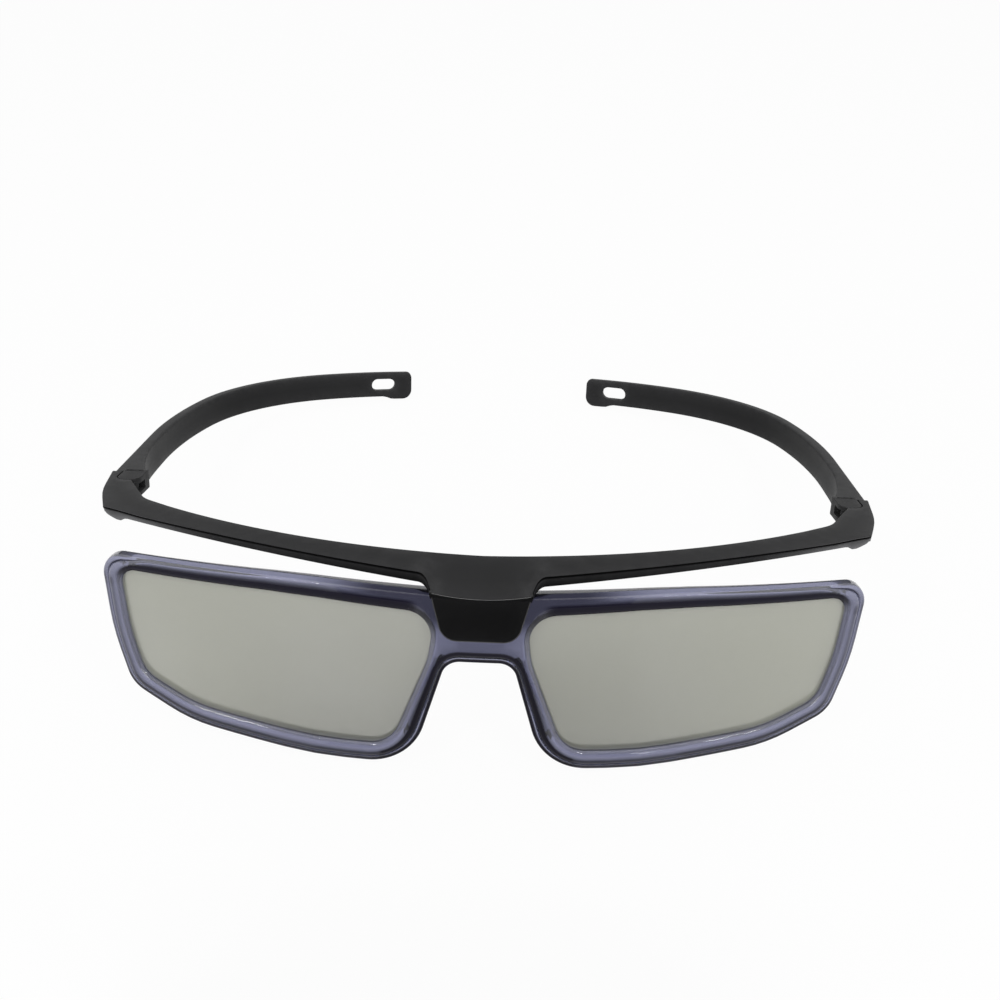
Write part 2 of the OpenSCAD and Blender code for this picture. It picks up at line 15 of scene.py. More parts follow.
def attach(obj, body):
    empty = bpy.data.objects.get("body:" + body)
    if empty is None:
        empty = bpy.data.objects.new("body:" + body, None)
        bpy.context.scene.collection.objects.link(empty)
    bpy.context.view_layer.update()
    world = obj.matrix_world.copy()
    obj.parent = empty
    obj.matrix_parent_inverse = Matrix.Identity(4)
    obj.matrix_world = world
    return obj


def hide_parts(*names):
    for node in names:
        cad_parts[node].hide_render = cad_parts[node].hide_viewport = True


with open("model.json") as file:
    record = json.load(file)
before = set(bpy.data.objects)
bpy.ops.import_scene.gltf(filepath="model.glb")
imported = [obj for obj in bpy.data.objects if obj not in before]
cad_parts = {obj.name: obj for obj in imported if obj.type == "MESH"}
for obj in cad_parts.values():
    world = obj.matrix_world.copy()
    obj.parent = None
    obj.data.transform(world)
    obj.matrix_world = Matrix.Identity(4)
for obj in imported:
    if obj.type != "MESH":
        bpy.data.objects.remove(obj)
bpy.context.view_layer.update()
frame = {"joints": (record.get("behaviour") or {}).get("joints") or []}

MM = 0.001

# Lens openings: overall sizes, and the bends and roundings along their edges
LENS_W, LENS_H, LENS_GAP = 59.3, 28.9, 16.4
NOSE_LEAN, OUTER_LEAN, OUTER_LIFT = 7.9, 3.6, 8.2
NOSE_CORNER_R, UPPER_CORNER_R, OUTER_CORNER_R, LOWER_CORNER_R = 6.0, 5.0, 3.0, 5.5
LOW_BEND_X, LOW_BEND_R = 22.0, 80.0
RISE_BEND_X, RISE_BEND_Z, RISE_BEND_R = 45.7, 3.3, 25.0
SIDE_BEND_X, SIDE_BEND_Z, SIDE_BEND_R = 1.1, 16.9, 40.0
TOP_BEND_X, TOP_BEND_R, OUTER_RISE, NOSE_DROP = 25.5, 150.0, 0.2, 1.8
NOSE_BEND_X, NOSE_BEND_Z, NOSE_BEND_R = 1.2, 17.7, 15.0

# Lens frame
RIM_BOTTOM, RIM_SIDE, RIM_NOSE, RIM_TOP, RIM_DEPTH = 4.1, 3.8, 5.0, 2.4, 3.8
RIM_CROWN, BRIDGE_BEND_R, RIM_CORNER_R, RIM_LOWER_R = 0.8, 60.0, 4.2, 6.0
FRONT_R = 230.0
ARCH_H, ARCH_W, ARCH_R = 21.7, 12.0, 3.4
FLANGE_T, FLANGE_R, FLANGE_H, FLANGE_DEPTH = 1.6, 8.0, 9.0, 2.4
FLANGE_INSET, FLANGE_FILLET, FLANGE_EDGE = 1.7, 2.6, 0.5
# Crest of the rim: how much of its width slopes to each side, how far back, and the rear edges' rounding
OUTER_SLOPE, OUTER_FALL, INNER_SLOPE, INNER_FALL, TOP_SHIFT = 0.62, 1.5, 0.30, 0.95, 0.52
RIM_REAR_ROUND, OPENING_REAR_ROUND, WIDEST_CREST = 0.8, 1.4, 4.4
# Where the crest shifts up: in from the rims' sides and from below the openings' top, each with its run
SHIFT_SIDE, SHIFT_SIDE_RUN, SHIFT_BELOW, SHIFT_BELOW_RUN = 2.5, 8.0, 5.0, 4.0
# Groove between the crest and a low step along the outer edge: shares of the slope's width, and depths
GROOVE_AT, STEP_AT, EDGE_AT = 0.50, 0.60, 0.84
CREST_FALL, GROOVE_LOW, STEP_LOW, STEP_TILT = 0.75, 0.95, 0.70, 0.06
# Painted light and shade stored on the rims' front: tones and weights, how far each reaches, and how a face
# has to be turned
FLAT_TONE, DEEP_TONE, DARK_TONE, SLOPE_GAIN = 0.74, 0.03, 0.3, 7.0
SIDE_SHADE, NOSE_SHADE, WALL_SHADE, OUTER_WALL_LOSS, BLOCK_SHADE = 0.3, 1.0, 0.85, 0.7, 0.82
DEEP_BELOW, DEEP_BESIDE, SHADE_DEPTH, SHADE_FADE = 3.0, 10.0, 2.3, 0.5
BLOCK_REACH, BLOCK_RUN, BLOCK_BELOW, BLOCK_BELOW_RUN = 34.0, 16.0, 8.0, 6.0
FRONT_TURN, WALL_TURN, FACES_UP = 0.5, 0.3, 0.2

# Lenses
POLARISER_T, FILM_T, BOND_GAP = 0.6, 0.2, 0.03
LENS_RECESS, LENS_SEAT, LENS_PLAY = 1.2, 1.0, 0.1

# Brow bar, block and shield
BROW_RISE, REAR_DIP, FRONT_DIP, BROW_FALL, TOP_STEP = 5.1, 0.9, 1.9, 0.1, 0.05
BROW_OVERHANG, BROW_SET_BACK, BROW_SWEEP = 2.8, 0.6, 11.3
BROW_FRONT_R, BROW_REAR_R, BROW_DEPTH = 298.0, 122.0, 9.5
BROW_FACE_H, BROW_FACE_GROWTH, BROW_BACK_H, BROW_DRAFT = 1.3, 0.9, 2.6, 0.18
SHIELD_TOP_W, SHIELD_BOTTOM_W, SHIELD_H, SHIELD_T = 18.0, 13.2, 9.5, 2.4
SHIELD_RISE, SEAT_GAP, SHIELD_CORNER_R, FOLD_DROP, BLOCK_CORNER = 0.95, 0.15, 3.4, 1.0, 2.2
BROW_EDGE, BROW_UNDER_EDGE, SHIELD_EDGE, SHIELD_REAR_EDGE, SHIELD_BACK = 0.12, 0.1, 0.3, 0.2, 0.1
# Shadow line under the bar's top edge (a groove, its rings painted dark), and the painted sheen and painted
# shade of its front face
LINE_IN, LINE_H, LINE_START, LINE_END = 0.35, 0.35, 0.05, 0.1
FACE_START, FACE_RUN, FACE_SHEEN_GREY = 48.0, 24.0, 0.22
DIM_START, DIM_RUN, DIM_SHARE = 12.0, 45.0, 0.88
UPRIGHT_FROM, UPRIGHT_RUN, FACES_FRONT = 0.75, 0.2, -0.2

# Screws through the bridge
SCREW_SPACING, SCREW_HEIGHT = 8.0, 3.6
SCREW_R, SCREW_HEAD_R, SCREW_HEAD_H, SCREW_BITE, SCREW_SINK = 0.6, 1.15, 0.8, 1.5, 0.1
RECESS_W, RECESS_DEPTH, RECESS_REACH, HEAD_TAPER = 0.36, 0.4, 1.2, 0.86

# End pieces and hinges
END_LEN, END_FLARE, END_H, TAB_W, TAB_H = 21.3, 5.7, 4.1, 4.6, 2.3
CORNER_R, BOW_OUT, BOW_BACK, BOW_R, BACK_STEP, INNER_R, EDGE_R = 2.6, 3.5, 9.0, 40.0, 1.5, 7.0, 0.3
TAB_ROUND, TAB_ROUND_BACK, TAB_ROUND_REACH, TOP_RUN, SEAM_GAP = 2.0, 1.0, 3.7, 8.0, 0.2
BLEND_LEAD, BLEND_RUN, LIFT_LIMIT, SINK_LIMIT, CORNER_RUN = 0.3, 0.9, 0.3, 0.6, 6.0
END_WALL, NOSE_R, STOP_BACK, NECK_IN = 1.9, 2.4, 3.0, 1.0
TONGUE_R, TONGUE_T, TONGUE_ROOT, EAR_GAP, TURN_GAP, STOP_GAP = 1.6, 1.6, 1.0, 0.12, 0.35, 0.15
PIN_R, PIN_PLAY, PIN_SINK, PIN_COVER, PIN_TAPER, HINGE_CANT = 0.6, 0.05, 0.1, 0.5, 0.25, 3.4

# Arms: straight run, bow, wrap and tip, as lengths and turns in degrees
ARM_INSET, ARM_SPLAY = 0.4, 3.0
ARM_STRAIGHT = 28.0
ARM_BENDS = ((34.0, 15.5), (44.0, 51.0), (26.5, 16.0))
ARM_T, ARM_H, ARM_TAPER, ARM_EDGE = 2.7, 7.2, 22.0, 0.6
TIP_FOOT, FOOT_RUN, TIP_TOP_R, TIP_LOW_R = 0.8, 2.8, 1.6, 2.8
SLOT_L, SLOT_H, SLOT_IN, SLOT_EDGE = 7.1, 3.6, 8.6, 0.35
HEAD_REACH, HEAD_TOP_EDGE, HEAD_LOW_EDGE = 1.5, 0.15, 0.3

# Mesh fineness: arcs in degrees, counts of points, longest edges of outlines, gaps between points of faces
ARC_STEP, CAD_ARC_STEP = 5.0, 12.0
EDGE_STEPS, EVENING_ROUNDS, SCREW_SIDES = 4, 6, 32
QUARTER_POINTS, CURVE_POINTS, FILLET_POINTS = 12, 24, 8
POCKET_POINTS, NOSE_POINTS, SLOT_POINTS = 26, 32, 16
BLOCK_POINTS, BAR_POINTS, ARM_POINTS, PATH_POINTS = 10, 40, 110, 1601
LOOP_GAP, BAR_LOOP_GAP, ARM_LOOP_GAP, SLOT_LOOP_GAP, ROOM_GAP = 1.0, 1.2, 1.5, 0.6, 2.0
RIM_FILL, FLANGE_FILL, LENS_FILL, BAR_FILL = 2.0, 1.2, 2.5, 1.5
TONGUE_FILL, ARM_FILL, HEAD_FILL = 1.0, 1.6, 1.2
MITRE_LIMIT, BORDER_SHARE, SAME_SPOT = 0.4, 0.6, 1e-4
# Bends, in degrees, that count as fully rubbed and as sharp
WEAR_BEND, SHARP_BEND = 30.0, 32.0

SIDES = ((1, "left"), (-1, "right"))
MIRROR = np.array([-1.0, 1.0])


# Plane geometry
def unit(v):
    return v / np.linalg.norm(v)


def outward(d):
    return np.array([d[1], -d[0]])


def cross2(a, b):
    return a[0] * b[1] - a[1] * b[0]


def ease(t):
    t = np.clip(t, 0.0, 1.0)
    return t * t * (3 - 2 * t)


def grown(corners, widths):
    """Corners (x, z, radius) moved out by one width per edge."""
    moved = []
    count = len(corners)
    for i in range(count):
        before, here, after = (np.array(corners[k % count][:2]) for k in (i - 1, i, i + 1))
        first, second = widths[i - 1], widths[i]
        n1, n2 = outward(unit(here - before)), outward(unit(after - here))
        shift = (first * outward(n2) - second * outward(n1)) / cross2(n1, n2)
        moved.append((*(here + shift), corners[i][2] + max(first, second)))
    return moved


def corner_arc(before, here, after, radius, step):
    d1, d2 = unit(here - before), unit(after - here)
    turn = math.atan2(cross2(d1, d2), d1 @ d2)
    start = here - d1 * radius * math.tan(abs(turn) / 2)
    centre = start - outward(d1) * radius * np.sign(turn)
    steps = max(1, math.ceil(abs(math.degrees(turn)) / step))
    spoke = start - centre
    return [centre + (spoke * math.cos(a) - outward(spoke) * math.sin(a))
            for a in np.linspace(0, turn, steps + 1)]


def rounded(corners, closed=True, step=ARC_STEP):
    """Points along a path whose corners (x, y, radius) are rounded; an open path keeps its two ends."""
    count = len(corners)
    spots = [np.array(c[:2], float) for c in corners]
    points = []
    for i, corner in enumerate(corners):
        if closed or 0 < i < count - 1:
            points += corner_arc(spots[i - 1], spots[i], spots[(i + 1) % count], corner[2], step)
        else:
            points.append(spots[i])
    return np.array(points)


def spread(loop, gap):
    """The loop with its long edges divided, so that none is longer than gap."""
    points = []
    for here, after in zip(loop, np.roll(loop, -1, axis=0)):
        length = np.linalg.norm(after - here)
        if length < SAME_SPOT:
            continue
        parts = max(1, math.ceil(length / gap))
        points += [here + (after - here) * k / parts for k in range(parts)]
    return np.array(points)


def inset_loop(loop, width):
    """The loop moved to its left by width, corners mitred."""
    ahead = np.roll(loop, -1, axis=0) - loop
    ahead /= np.linalg.norm(ahead, axis=1)[:, None]
    left = np.stack([-ahead[:, 1], ahead[:, 0]], axis=1)
    before = np.roll(left, 1, axis=0)
    mitre = (left + before) / np.maximum(MITRE_LIMIT, 1 + np.sum(left * before, axis=1))[:, None]
    return loop + np.reshape(width, (-1, 1)) * mitre


def inside(points, loop):
    """Which points lie inside a closed loop."""
    x, y = points[:, 0][:, None], points[:, 1][:, None]
    x1, y1 = loop[:, 0][None], loop[:, 1][None]
    x2, y2 = np.roll(loop[:, 0], -1)[None], np.roll(loop[:, 1], -1)[None]
    crosses = (y1 > y) != (y2 > y)
    with np.errstate(divide="ignore", invalid="ignore"):
        at = x1 + (y - y1) * (x2 - x1) / (y2 - y1)
    return (np.sum(crosses & (x < at), axis=1) % 2) == 1


# Closed plates with rounded edges
STRAIGHT_EDGE = [(0.0, 0.0, 0.0), (0.0, 1.0, 0.0)]


def quarter(steps):
    """Run and fall along a quarter turn of radius one."""
    return [(math.sin(a), 1 - math.cos(a)) for a in np.linspace(0, math.pi / 2, steps + 1)]


def sloped_edge(width, depth, steps=2 * EDGE_STEPS):
    """Rounded slope at the plate's near side, as (inset, share of depth, offset). The width is one number, or
    one for each point of the loop."""
    return [(width * (1 - run), 0.0, depth * fall) for run, fall in quarter(steps)]


def front_edge(radius):
    return sloped_edge(radius, radius, EDGE_STEPS)


def rear_edge(radius):
    return [(inset, 1.0, -offset) for inset, _, offset in reversed(front_edge(radius))]


def grooved_edge(width, depth, plain):
    """Slope with a groove and a low step before the edge, blended with the plain slope by one share for each
    point of the loop."""
    crest = [(GROOVE_AT * run, CREST_FALL * fall) for run, fall in quarter(2 * EDGE_STEPS)]
    step = [((GROOVE_AT + STEP_AT) / 2, GROOVE_LOW), (STEP_AT, STEP_LOW),
            ((STEP_AT + EDGE_AT) / 2, STEP_LOW + STEP_TILT / 2)]
    step_end = STEP_LOW + STEP_TILT
    edge = [(EDGE_AT + (1 - EDGE_AT) * run, step_end + (depth - step_end) * fall)
            for run, fall in quarter(EDGE_STEPS + 1)]
    profile = [(width, 0.0, 0.0)]
    for share, low in (crest + step + edge)[1:]:
        even = depth * (1 - math.sqrt(1 - min(1.0, share) ** 2))
        profile.append((width * (1 - share), 0.0, low + plain * (even - low)))
    return profile


def crest_width(loop, others):
    """Distance from each point of a loop to the nearest of other loops, evened out along the loop."""
    across = np.concatenate(others)
    near = np.array([math.sqrt(np.min(np.sum((across - p) ** 2, axis=1))) for p in loop])
    near = np.minimum(near, WIDEST_CREST)
    for _ in range(EVENING_ROUNDS):
        near = (np.roll(near, 1) + near + np.roll(near, -1)) / 3
    return near


def between(points, loops):
    """Which points lie inside the first loop and outside all the others."""
    return inside(points, loops[0]) & ~np.any([inside(points, hole) for hole in loops[1:]], axis=0)


def filled(loops, gap):
    """Triangles between an outer loop and its holes, with even points inside: (points, triangles)."""
    rim = np.concatenate(loops)
    edges, start = [], 0
    for loop in loops:
        edges += [(start + i, start + (i + 1) % len(loop)) for i in range(len(loop))]
        start += len(loop)
    low, high = loops[0].min(0), loops[0].max(0)
    rows = np.arange(low[1] + gap / 2, high[1], gap)
    columns = np.arange(low[0] + gap / 2, high[0], gap)
    grid = np.array([(x + (k % 2) * gap / 2, y) for k, y in enumerate(rows) for x in columns]).reshape(-1, 2)
    nearest = np.array([np.min(np.sum((rim - p) ** 2, axis=1)) for p in grid])
    points = np.concatenate([rim, grid[between(grid, loops) & (nearest > (BORDER_SHARE * gap) ** 2)]])
    made = geometry.delaunay_2d_cdt([Vector(p) for p in points], edges, [], 1, 1e-7)
    origin = [ids[0] for ids in made[3]]
    triangles = [[origin[i] for i in face] for face in made[2]]
    middles = np.array([points[t].mean(0) for t in triangles])
    return points, [t for t, kept in zip(triangles, between(middles, loops)) if kept]


def plate(loops, profiles, place, gap):
    """Closed shell between a near and a far face: loops[0] is the outline, anticlockwise, and the rest are
    holes, clockwise. A profile lists (inset, share of depth, offset) from face to face, and place() sets
    points in space."""
    points, faces, rings = [], [], []
    for loop, profile in zip(loops, profiles):
        made = []
        for inset, share, offset in profile:
            made.append(sum(len(p) for p in points))
            points.append(place(inset_loop(loop, inset), share, offset))
        rings.append(made)
        count = len(loop)
        for a, b in zip(made, made[1:]):
            faces += [(a + i, a + (i + 1) % count, b + (i + 1) % count, b + i) for i in range(count)]
    for end in (0, -1):
        caps = [inset_loop(loop, profile[end][0]) for loop, profile in zip(loops, profiles)]
        flat, triangles = filled(caps, gap)
        border = np.concatenate([np.arange(len(loop)) + ring[end] for loop, ring in zip(loops, rings)])
        base = sum(len(p) for p in points)
        extra = flat[len(border):]
        points.append(place(extra, *profiles[0][end][1:]))
        index = np.concatenate([border, np.arange(len(extra)) + base])
        faces += [tuple(int(index[i]) for i in t) for t in triangles]
    return np.concatenate(points), faces


# Outlines as worn, from the sizes above
OPEN_TOP_Z = RIM_BOTTOM + LENS_H
OPEN_IN_X = LENS_GAP / 2
OPEN_OUT_X = OPEN_IN_X + LENS_W
CORNERS = [
    (OPEN_IN_X + NOSE_LEAN, RIM_BOTTOM, NOSE_CORNER_R),
    (OPEN_IN_X + LOW_BEND_X, RIM_BOTTOM, LOW_BEND_R),
    (OPEN_IN_X + RISE_BEND_X, RIM_BOTTOM + RISE_BEND_Z, RISE_BEND_R),
    (OPEN_OUT_X - OUTER_LEAN, RIM_BOTTOM + OUTER_LIFT, LOWER_CORNER_R),
    (OPEN_OUT_X - SIDE_BEND_X, RIM_BOTTOM + SIDE_BEND_Z, SIDE_BEND_R),
    (OPEN_OUT_X, OPEN_TOP_Z + OUTER_RISE, OUTER_CORNER_R),
    (OPEN_IN_X + TOP_BEND_X, OPEN_TOP_Z, TOP_BEND_R),
    (OPEN_IN_X, OPEN_TOP_Z - NOSE_DROP, UPPER_CORNER_R),
    (OPEN_IN_X + NOSE_BEND_X, RIM_BOTTOM + NOSE_BEND_Z, NOSE_BEND_R)]
RIM_CORNERS = grown(CORNERS, [RIM_BOTTOM] * 3 + [RIM_SIDE] * 2 + [RIM_TOP] * 2 + [RIM_NOSE] * 2)
RIM_CORNERS[3] = (*RIM_CORNERS[3][:2], RIM_LOWER_R)
RIM_CORNERS[5] = (*RIM_CORNERS[5][:2], RIM_CORNER_R)
RIM_CORNERS[6] = (RIM_CORNERS[6][0], RIM_CORNERS[6][1] + RIM_CROWN, RIM_CORNERS[6][2])
RIM_OUTLINE = rounded(RIM_CORNERS, step=CAD_ARC_STEP)
RIM_TOP_Z = RIM_OUTLINE[:, 1].max()
RIM_OUT_X = RIM_OUTLINE[:, 0].max()
BRIDGE_TOP_Z = OPEN_TOP_Z + RIM_TOP

TOP_Z = RIM_TOP_Z + BROW_RISE
CORNER_X = RIM_OUT_X + BROW_OVERHANG
SHIELD_FRONT = -SEAT_GAP - SHIELD_T
SHIELD_TOP_Z = RIM_TOP_Z + SHIELD_RISE
SHIELD_LOW_Z = SHIELD_TOP_Z - SHIELD_H
BLOCK_HALF = SHIELD_TOP_W / 2


def bend_y(x, depth=0.0):
    return FRONT_R - np.sqrt((FRONT_R - depth) ** 2 - x * x)


def bar_share(x):
    return np.minimum(1.0, x / CORNER_X)


def bar_front_y(x):
    return SHIELD_FRONT + BROW_SET_BACK + math.tan(math.radians(BROW_SWEEP)) * x + x * x / (2 * BROW_FRONT_R)


def bar_rear_y(x):
    return SHIELD_FRONT + BROW_DEPTH + BROW_REAR_R - np.sqrt(BROW_REAR_R ** 2 - x * x)


def bar_rear_z(x):
    return TOP_Z - TOP_STEP - REAR_DIP * (1 - bar_share(x)) ** 1.5


def bar_front_z(x):
    return TOP_Z - TOP_STEP - BROW_FALL - FRONT_DIP * (1 - bar_share(x))


def block_share(x):
    return np.sqrt(1 - (1 - np.clip((x - BLOCK_HALF) / BLOCK_CORNER, 0, 1)) ** 2)


def fold_z(x):
    return SHIELD_TOP_Z - FOLD_DROP * (1 - np.minimum(1.0, (x / BLOCK_HALF) ** 2))


def front_y(x):
    return SHIELD_FRONT + block_share(x) * (bar_front_y(x) - SHIELD_FRONT)


def front_z(x):
    return fold_z(x) + block_share(x) * (bar_front_z(x) - fold_z(x))


def under_z(x):
    face = BROW_FACE_H + BROW_FACE_GROWTH * (1 - bar_share(x))
    return np.maximum(front_z(x) - face, BRIDGE_TOP_Z + SEAT_GAP)


CORNER_Y = bar_front_y(CORNER_X)
END_X, END_Y = CORNER_X + END_FLARE, CORNER_Y + END_LEN
HINGE = np.array([END_X - END_WALL - TURN_GAP - NOSE_R, END_Y + STOP_GAP - STOP_BACK])
END_LOW_Z = TOP_Z - END_H
HINGE_Z = TOP_Z - END_H / 2
POCKET_R = NOSE_R + SEAM_GAP
TAB_X = CORNER_X - TAB_W
BACK_X = TAB_X - BACK_STEP

# The worn shape set down on its rims and tips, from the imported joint
joint = {j["name"]: j for j in frame["joints"]}["left_fold"]
LEAN = math.atan2(joint["axis"][1], joint["axis"][2])
TURN = Matrix.Rotation(-LEAN, 3, "X")
SET_DOWN = Vector(joint["pos_m"]) - TURN @ Vector((*HINGE, HINGE_Z)) * MM


def stand(points):
    """Worn millimetres to the part's frame in metres."""
    return np.asarray(points) @ np.array(TURN).T * MM + np.array(SET_DOWN)


# Pieces
def added(name, data):
    """A new object in the scene."""
    thing = bpy.data.objects.new(name, data)
    bpy.context.scene.collection.objects.link(thing)
    return thing


def after_modifiers(thing):
    """A new mesh of what the object looks like."""
    bpy.context.view_layer.update()
    return bpy.data.meshes.new_from_object(thing.evaluated_get(bpy.context.evaluated_depsgraph_get()))


def shell(name, *parts):
    """One mesh from closed shells (points, faces) in worn millimetres, its faces turned outwards."""
    mesh = bpy.data.meshes.new(name)
    points, faces = [], []
    for part_points, part_faces in parts:
        base = sum(len(p) for p in points)
        points.append(stand(part_points))
        faces += [tuple(i + base for i in face) for face in part_faces]
    mesh.from_pydata(np.concatenate(points).tolist(), [], faces)
    work = bmesh.new()
    work.from_mesh(mesh)
    bmesh.ops.recalc_face_normals(work, faces=work.faces)
    work.to_mesh(mesh)
    work.free()
    return mesh


def mark_wear(mesh):
    """Stores how convex the surface is at each point, for rubbed edges."""
    work = bmesh.new()
    work.from_mesh(mesh)

    def greatest(measure):
        return np.array([max((measure(v, e) for e in v.link_edges), default=0.0) for v in work.verts])

    bend = greatest(lambda v, e: e.calc_face_angle_signed(0.0))
    sharp = np.clip(bend / math.radians(WEAR_BEND), 0, 1)
    around = greatest(lambda v, e: sharp[e.other_vert(v).index])
    work.free()
    mark(mesh, "wear", (sharp + around) / 2)


def as_worn(mesh):
    """Normals and places of the mesh's points, as worn."""
    places, normals = (np.array([getattr(v, what) for v in mesh.vertices]) for what in ("co", "normal"))
    return normals @ np.array(TURN), (places - np.array(SET_DOWN)) @ np.array(TURN) / MM


def mark(mesh, name, values):
    mesh.attributes.new(name, "FLOAT", "POINT").data.foreach_set("value", values)


def mark_painted_rim_shade(mesh, middle):
    """Stores painted light and shade for the front of the rims: lighter where it slopes up or to the lens,
    darker where it slopes down or away from the lens, painted shade along the walls of the lens openings, and
    a painted reflection of the bar's black block as shade beside it."""
    normals, places = as_worn(mesh)
    x, y, z = places.T
    bend = np.arcsin(x / FRONT_R)
    along = normals[:, 0] * np.cos(bend) + normals[:, 1] * np.sin(bend)
    away = np.sign(np.abs(x) - middle) * np.sign(x) * along
    steep = np.hypot(along, normals[:, 2]) + 1e-6
    weight = np.where(np.abs(x) < middle, NOSE_SHADE, SIDE_SHADE)
    slope = np.clip(SLOPE_GAIN * steep, 0, 1) * np.clip((weight * away - normals[:, 2]) / steep, -1, 1)
    deep = (z > OPEN_TOP_Z - DEEP_BELOW) | (np.abs(x) < OPEN_IN_X + DEEP_BESIDE)
    dark = np.where(deep, DEEP_TONE, DARK_TONE)
    passed = FLAT_TONE + np.where(slope > 0, (dark - FLAT_TONE) * slope, (FLAT_TONE - 1) * slope)
    front = ease(1.0 - normals[:, 1] / FRONT_TURN)
    upper = (z > OPEN_TOP_Z + RIM_TOP / 2) & (normals[:, 2] > FACES_UP)
    outer = (np.abs(x) > middle) * np.clip(away, 0, 1)
    wall = WALL_SHADE * (1 - OUTER_WALL_LOSS * outer) * ease(1.0 - np.abs(normals[:, 1]) / WALL_TURN)
    wall = np.where(upper, 0.0, wall)
    near = 1.0 - ease((y - bend_y(x) - SHADE_DEPTH) / SHADE_FADE)
    beside = BLOCK_SHADE * ease((BLOCK_REACH - np.abs(x)) / BLOCK_RUN)
    beside = beside * ease((z - OPEN_TOP_Z + BLOCK_BELOW) / BLOCK_BELOW_RUN)
    mark(mesh, "shade", np.maximum(np.maximum(1 - passed ** 2, beside) * front, wall) * near)


def mark_painted_face_sheen(mesh):
    """Stores a painted sheen where the bar's front face turns to the sides, and returns how much painted
    shade dims the face between."""
    normals, places = as_worn(mesh)
    from_middle = np.abs(places[:, 0])
    upright = ease((np.hypot(normals[:, 0], normals[:, 1]) - UPRIGHT_FROM) / UPRIGHT_RUN)
    upright = upright * (normals[:, 1] < FACES_FRONT)
    mark(mesh, "face", upright * ease((from_middle - FACE_START) / FACE_RUN))
    return DIM_SHARE * upright * np.clip(1 - (from_middle - DIM_START) / DIM_RUN, 0, 1)


def finished(name, mesh, finish, body, nodes=()):
    """Adds the mesh, smoothly shaded, as a piece that rides on a body and stands for CAD nodes."""
    mark_wear(mesh)
    mesh.polygons.foreach_set("use_smooth", [True] * len(mesh.polygons))
    mesh.set_sharp_from_angle(angle=math.radians(SHARP_BEND))
    mesh.materials.clear()
    mesh.materials.append(finish)
    piece = added(name, mesh)
    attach(piece, body)
    if nodes:
        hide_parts(*nodes)


def combined(mesh, other, operation):
    """Boolean of two meshes, as a new mesh."""
    pair = [added(m.name, m) for m in (mesh, other)]
    modifier = pair[0].modifiers.new("join", "BOOLEAN")
    modifier.operation, modifier.object, modifier.solver = operation, pair[1], "EXACT"
    result = after_modifiers(pair[0])
    for thing in pair:
        bpy.data.objects.remove(thing)
    return result


def on_side(part, side):
    """The part as built for the left side, or mirrored."""
    points, faces = part
    return points * np.array([side, 1.0, 1.0]), faces


# Shader maths on sockets
def maths(operation, reflected=False):
    """A method that joins a socket with a number or another socket by a Math node."""
    def method(self, other):
        first, second = (other, self) if reflected else (self, other)
        return self.finish.node("ShaderNodeMath", {0: first, 1: second}, {"operation": operation})

    return method


class Socket:
    """A shader socket whose arithmetic adds Math nodes."""

    def __init__(self, finish, socket):
        self.finish, self.socket = finish, socket

    __add__, __radd__ = maths("ADD"), maths("ADD", reflected=True)
    __sub__, __rsub__ = maths("SUBTRACT"), maths("SUBTRACT", reflected=True)
    __mul__, __rmul__ = maths("MULTIPLY"), maths("MULTIPLY", reflected=True)
    __pow__, __rpow__ = maths("POWER"), maths("POWER", reflected=True)


class Nodes:
    """A node tree under construction, of a material, a world or a geometry group."""

    def __init__(self, owner):
        if hasattr(owner, "use_nodes"):
            owner.use_nodes = True
        self.owner, self.tree = owner, getattr(owner, "node_tree", owner)
        self.tree.nodes.clear()

    def node(self, kind, inputs=None, settings=None, output=0):
        """Adds a node: its settings first, then values or links into its sockets. Returns one output."""
        made = self.tree.nodes.new(kind)
        for key, value in (settings or {}).items():
            setattr(made, key, value)
        for key, value in (inputs or {}).items():
            for item in value if isinstance(value, list) else [value]:
                if isinstance(item, Socket):
                    self.tree.links.new(item.socket, made.inputs[key])
                else:
                    made.inputs[key].default_value = item
        return Socket(self, made.outputs[output]) if made.outputs else None

    def place(self):
        return self.node("ShaderNodeTexCoord", output="Object")

    def stored(self, name):
        return self.node("ShaderNodeAttribute", None, {"attribute_name": name}, "Fac")

    def noise(self, scale, detail, vector=None):
        vector = vector or self.place()
        return self.node("ShaderNodeTexNoise", {"Vector": vector, "Scale": scale, "Detail": detail})

    def mix(self, factor, first, second):
        return self.node("ShaderNodeMix", {0: factor, 6: first, 7: second}, {"data_type": "RGBA"}, 2)

    def bump(self, height, strength, distance):
        return self.node("ShaderNodeBump", {"Height": height, "Strength": strength, "Distance": distance})

    def seen_directly(self):
        """One for rays from the camera, off gloss or through glass."""
        camera, glossy, through = (self.node("ShaderNodeLightPath", output=f"Is {kind} Ray")
                                   for kind in ("Camera", "Glossy", "Transmission"))
        return camera + glossy + through

    def principled(self, inputs):
        return self.node("ShaderNodeBsdfPrincipled", inputs)

    def blend(self, factor, first, second):
        """Two shaders mixed by a factor."""
        return self.node("ShaderNodeMixShader", {0: factor, 1: first, 2: second})

    def material(self, shader, **more):
        """The material, with the shader and any more on its output."""
        self.node("ShaderNodeOutputMaterial", {"Surface": shader, **more})
        return self.owner


def new_finish(name):
    return Nodes(bpy.data.materials.new(name))


def grey(value):
    """A grey with a faint blue cast."""
    return (value, value, value * 1.03, 1.0)


